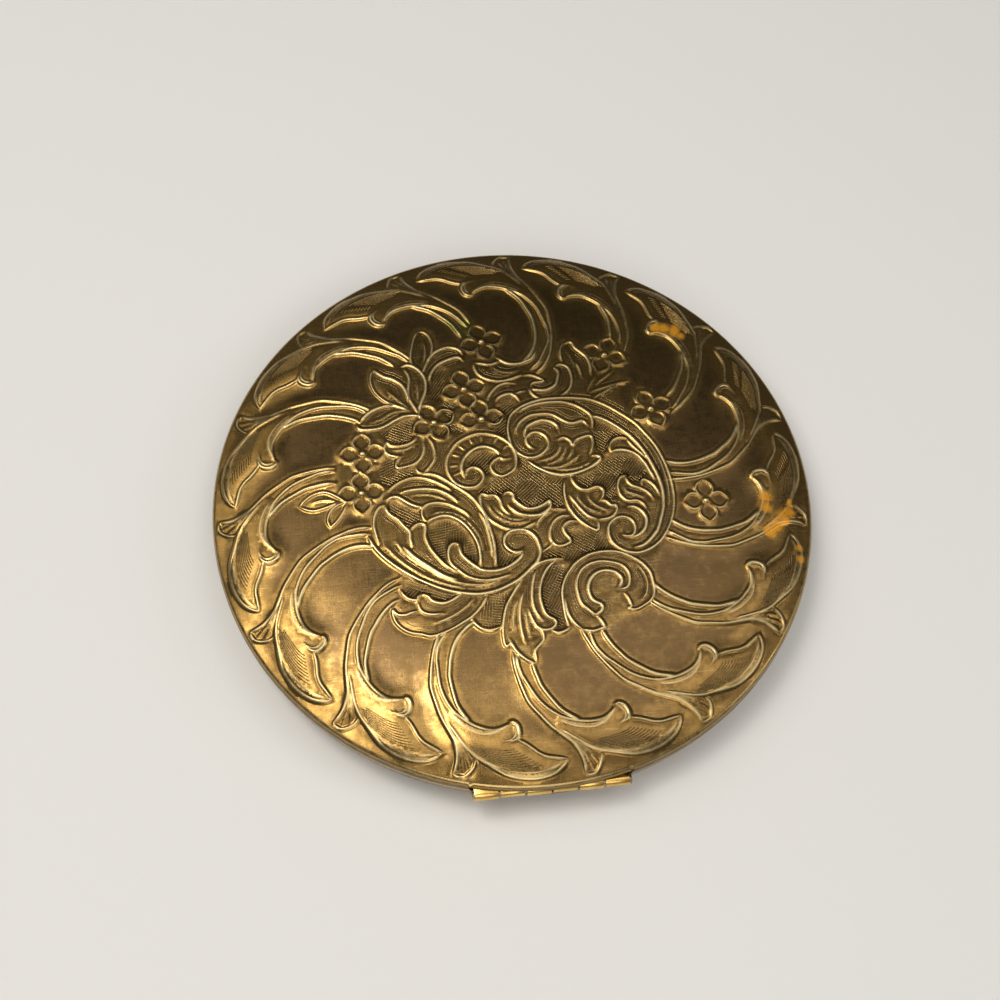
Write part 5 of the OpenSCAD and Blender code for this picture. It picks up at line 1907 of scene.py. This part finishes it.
def powder_level(r, a):
    """Pressed flat by use in the middle, heaped a little toward the wall, with soft lumps."""
    x, y = r * math.cos(a), r * math.sin(a)
    lumps = math.sin(x * 0.31 + 1.2) * math.sin(y * 0.27 + 0.4) + 0.6 * math.sin(x * 0.83 - y * 0.61)
    return POWDER_Z[1] - 0.30 - 0.10 * lumps * (1 - (r / POWDER_R) ** 4) - 0.12 * (1 - (r / POWDER_R) ** 2)


def disc(radius, rings, spokes, rise):
    """Points and faces of a round net. Rise gives the height at a radius, its share and an angle."""
    points = [(0.0, 0.0, rise(0.0, 0.0, 0.0))]
    for k in range(1, rings + 1):
        r = radius * k / rings
        for i in range(spokes):
            a = math.tau * i / spokes
            points.append((r * math.cos(a), r * math.sin(a), rise(r, k / rings, a)))
    faces = [(0, 1 + i, 1 + (i + 1) % spokes) for i in range(spokes)]
    for k in range(rings - 1):
        low, high = 1 + k * spokes, 1 + (k + 1) * spokes
        for i in range(spokes):
            j = (i + 1) % spokes
            faces.append((low + i, high + i, high + j, low + j))
    return points, faces


POWDER_RINGS, POWDER_SPOKES = 30, 120
powder_points, powder_faces = disc(
    POWDER_R, POWDER_RINGS, POWDER_SPOKES, lambda r, share, a: powder_level(r, a)
)
last, bottom = len(powder_points) - POWDER_SPOKES, len(powder_points)
powder_points += [(x, y, POWDER_Z[0]) for x, y, z in powder_points[last:]]
for i in range(POWDER_SPOKES):
    j = (i + 1) % POWDER_SPOKES
    powder_faces.append((last + i, bottom + i, bottom + j, last + j))
powder_faces.append(tuple(range(bottom, bottom + POWDER_SPOKES))[::-1])
piece(
    "loose_powder", powder_points, outward(powder_points, powder_faces), powder_finish, "base",
    ["powder_fill"], "face_powder", 40.0,
)

# %% [markdown]
# The puff is a velour pad with a satin back. Its seam gathers the cloth, so the edge ripples, and the
# ripples die away toward the crown. One ripple rule moves the pad, the satin and the ribbon alike.

# %% Puff
PAD_R = 38.15
PAD_Z = 5.55
PAD_SIDE_H = 1.8
PAD_T = 2.5
PAD_CROWN = 0.7
PAD_EDGE_R = PAD_SIDE_H / 2
COVER_R = PAD_R - PAD_EDGE_R
COVER_T = 0.25
RINGS, SPOKES = 26, 144
SIM_SCALE = 0.05
SIM_FRAMES = 20
RIPPLE_LIMIT = 0.13
RIPPLE_GAIN = 1.6
CLOTH_SETTINGS = {
    "quality": 6, "mass": 0.2, "tension_stiffness": 12, "compression_stiffness": 12,
    "bending_stiffness": 0.02, "shrink_min": -0.05, "use_pressure": True, "uniform_pressure_force": 4,
    "vertex_group_mass": "rim",
}


def gathers(a):
    return 0.5 * math.sin(37 * a + 0.7) + 0.3 * math.sin(53 * a + 2.1) + 0.2 * math.sin(71 * a + 4.0)


def settled_ripples():
    """Cloth slightly too large for its sewn rim, blown up from below: what each ring has over its mean."""
    points, faces = disc(
        COVER_R * SIM_SCALE, RINGS, SPOKES, lambda r, share, a: 0.004 * gathers(a) * share ** 4
    )
    mesh = bpy.data.meshes.new("cloth_trial")
    mesh.from_pydata(points, [], faces)
    trial = added("cloth_trial", mesh)
    rim = trial.vertex_groups.new(name="rim")
    rim.add(list(range(1 + (RINGS - 1) * SPOKES, len(points))), 1.0, "REPLACE")
    settings = trial.modifiers.new("cloth", "CLOTH").settings
    for name, value in CLOTH_SETTINGS.items():
        setattr(settings, name, value)
    settings.effector_weights.gravity = 0
    for step in range(1, SIM_FRAMES + 1):
        bpy.context.scene.frame_set(step)
    ready = trial.evaluated_get(bpy.context.evaluated_depsgraph_get())
    heights = np.array([v.co.z for v in ready.data.vertices])[1:].reshape(RINGS, SPOKES)
    bpy.context.scene.frame_set(1)
    bpy.data.objects.remove(trial)
    over = (heights - heights.mean(axis=1)[:, None]) / SIM_SCALE
    strongest = float(np.abs(over).max())
    print("cloth rose", round(float(heights.max()) / SIM_SCALE, 2), "mm and ripples by", round(strongest, 2))
    return np.clip(over * (RIPPLE_LIMIT / max(strongest, 1e-6)) * RIPPLE_GAIN, -RIPPLE_LIMIT, RIPPLE_LIMIT)


ripples = settled_ripples()


def ripple_at(r, a):
    """The ripple at a radius and angle, read between rings and spokes."""
    u = min(max(r / COVER_R * RINGS - 1, 0), RINGS - 1.001)
    v = (a % math.tau) / math.tau * SPOKES
    k, i = int(u), int(v) % SPOKES
    j, fu, fv = (i + 1) % SPOKES, u - int(u), v - int(v)
    near = ripples[k][i] * (1 - fv) + ripples[k][j] * fv
    far = ripples[k + 1][i] * (1 - fv) + ripples[k + 1][j] * fv
    return float(near * (1 - fu) + far * fu) * min(r / COVER_R * RINGS, 1.0)


def crown(r):
    return PAD_Z + PAD_T - PAD_CROWN * (r / PAD_R) ** 2


def cloth_lift(r, a):
    share = min(r / COVER_R, 1.0)
    return ripple_at(r, a) + 0.06 * gathers(a) * share ** 9 * (1 - share ** 60) - 0.05 * share ** 12


def on_cloth(x, y, z):
    return x, y, z + cloth_lift(math.hypot(x, y), math.atan2(y, x))


def pad_point(x, y, z):
    """The pad's top follows the cloth, its side is gathered and its underside has a soft nap."""
    if z > PAD_Z + PAD_SIDE_H - 0.3:
        return on_cloth(x, y, z)
    r, a = math.hypot(x, y), math.atan2(y, x)
    side = max(0.0, 1 - abs(z - PAD_Z - PAD_EDGE_R) / PAD_EDGE_R)
    grow = 1 - 0.004 * side * (1 + gathers(a + 0.1))
    nap = 0.05 * math.sin(9 * a) * math.sin(r * 0.5)
    return (x * grow, y * grow, z + (nap if z < PAD_Z + 0.05 and r < PAD_R - 1.2 else 0.0))


side_turns = [on_circle(PAD_EDGE_R, a) for a in range(-90, 91, 15)]
pad_side = [(COVER_R + out, PAD_Z + PAD_EDGE_R + up) for out, up in side_turns]
pad_section = [(COVER_R * k / 16, PAD_Z + 0.06) for k in range(16)] + pad_side
pad_section += [(COVER_R * k / 24, crown(COVER_R * k / 24)) for k in range(23, -1, -1)]
pad = piece(
    "velour_pad", *spun(pad_section, 300, False, pad_point), velour_finish, "base", ["puff_pad"],
    "puff_velour", 70.0,
)

cover_rows = [COVER_R * k / 28 for k in range(29)]
cover_section = [(r, crown(r) + SEAT) for r in cover_rows]
cover_section += [(COVER_R + 0.05, crown(COVER_R) + SEAT + COVER_T * 0.5)]
cover_section += [(r, crown(r) + SEAT + COVER_T) for r in reversed(cover_rows)]
cover = piece(
    "satin_back", *spun(cover_section, 300, False, on_cloth), satin_finish, "base", ["puff_cover"],
    "puff_satin", 70.0,
)

RIBBON_W = 12.0
RIBBON_T = 0.15
RIBBON_LOW = 2 * SEAT + COVER_T
RIBBON_HALF = math.sqrt(COVER_R ** 2 - (RIBBON_W / 2) ** 2) - 0.1
ribbon_points, ribbon_faces = [], []
long_steps, wide_steps = 96, 12
for side_z in (0.0, RIBBON_T):
    for i in range(long_steps + 1):
        x = RIBBON_HALF * (2 * i / long_steps - 1)
        narrow = 1 - 0.06 * (x / RIBBON_HALF) ** 4
        for j in range(wide_steps + 1):
            v = 2 * j / wide_steps - 1
            y = RIBBON_W / 2 * v * narrow
            r, a = math.hypot(x, y), math.atan2(y, x)
            along, level = crown(abs(x)), crown(r)
            level = max(along + 0.5 * (level - along), level) + RIBBON_LOW + max(cloth_lift(r, a), 0)
            slack = 0.26 * (1 - (x / RIBBON_HALF) ** 2) ** 0.6
            ripple = 0.03 * math.sin(v * 4 + x * 0.22) * (1 - abs(v)) * (1 - (x / RIBBON_HALF) ** 2)
            selvedge = 0.03 if abs(v) > 0.9 else 0.0
            ribbon_points.append((x, y, level + slack + ripple + (selvedge if side_z else 0.0) + side_z))
row = wide_steps + 1
under = (long_steps + 1) * row
for i in range(long_steps):
    for j in range(wide_steps):
        q = (i * row + j, (i + 1) * row + j, (i + 1) * row + j + 1, i * row + j + 1)
        ribbon_faces.append(q[::-1])
        ribbon_faces.append(tuple(c + under for c in q))
for i in range(long_steps):
    for j in (0, wide_steps):
        c, d = i * row + j, (i + 1) * row + j
        ribbon_faces.append((c, d, d + under, c + under))
for j in range(wide_steps):
    for i in (0, long_steps):
        c, d = i * row + j, i * row + j + 1
        ribbon_faces.append((c, d, d + under, c + under))
ribbon = piece(
    "satin_ribbon", ribbon_points, outward(ribbon_points, ribbon_faces), ribbon_finish, "base",
    ["puff_ribbon"], "puff_satin", 70.0,
)

# %% Materials on the CAD nodes that stay
stay = {
    "mirror_backing": card_finish, "deck_frame": deck_brass, "powder_well": inner_brass,
    "latch_bracket": spring_brass,
}
for name, finish in stay.items():
    nodes[name].data.materials.clear()
    nodes[name].data.materials.append(finish.material)

# %% Print the overall size
visual_box = [list(corner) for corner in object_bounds()]
print("visual box in mm", [[round(value / MM, 2) for value in corner] for corner in visual_box])
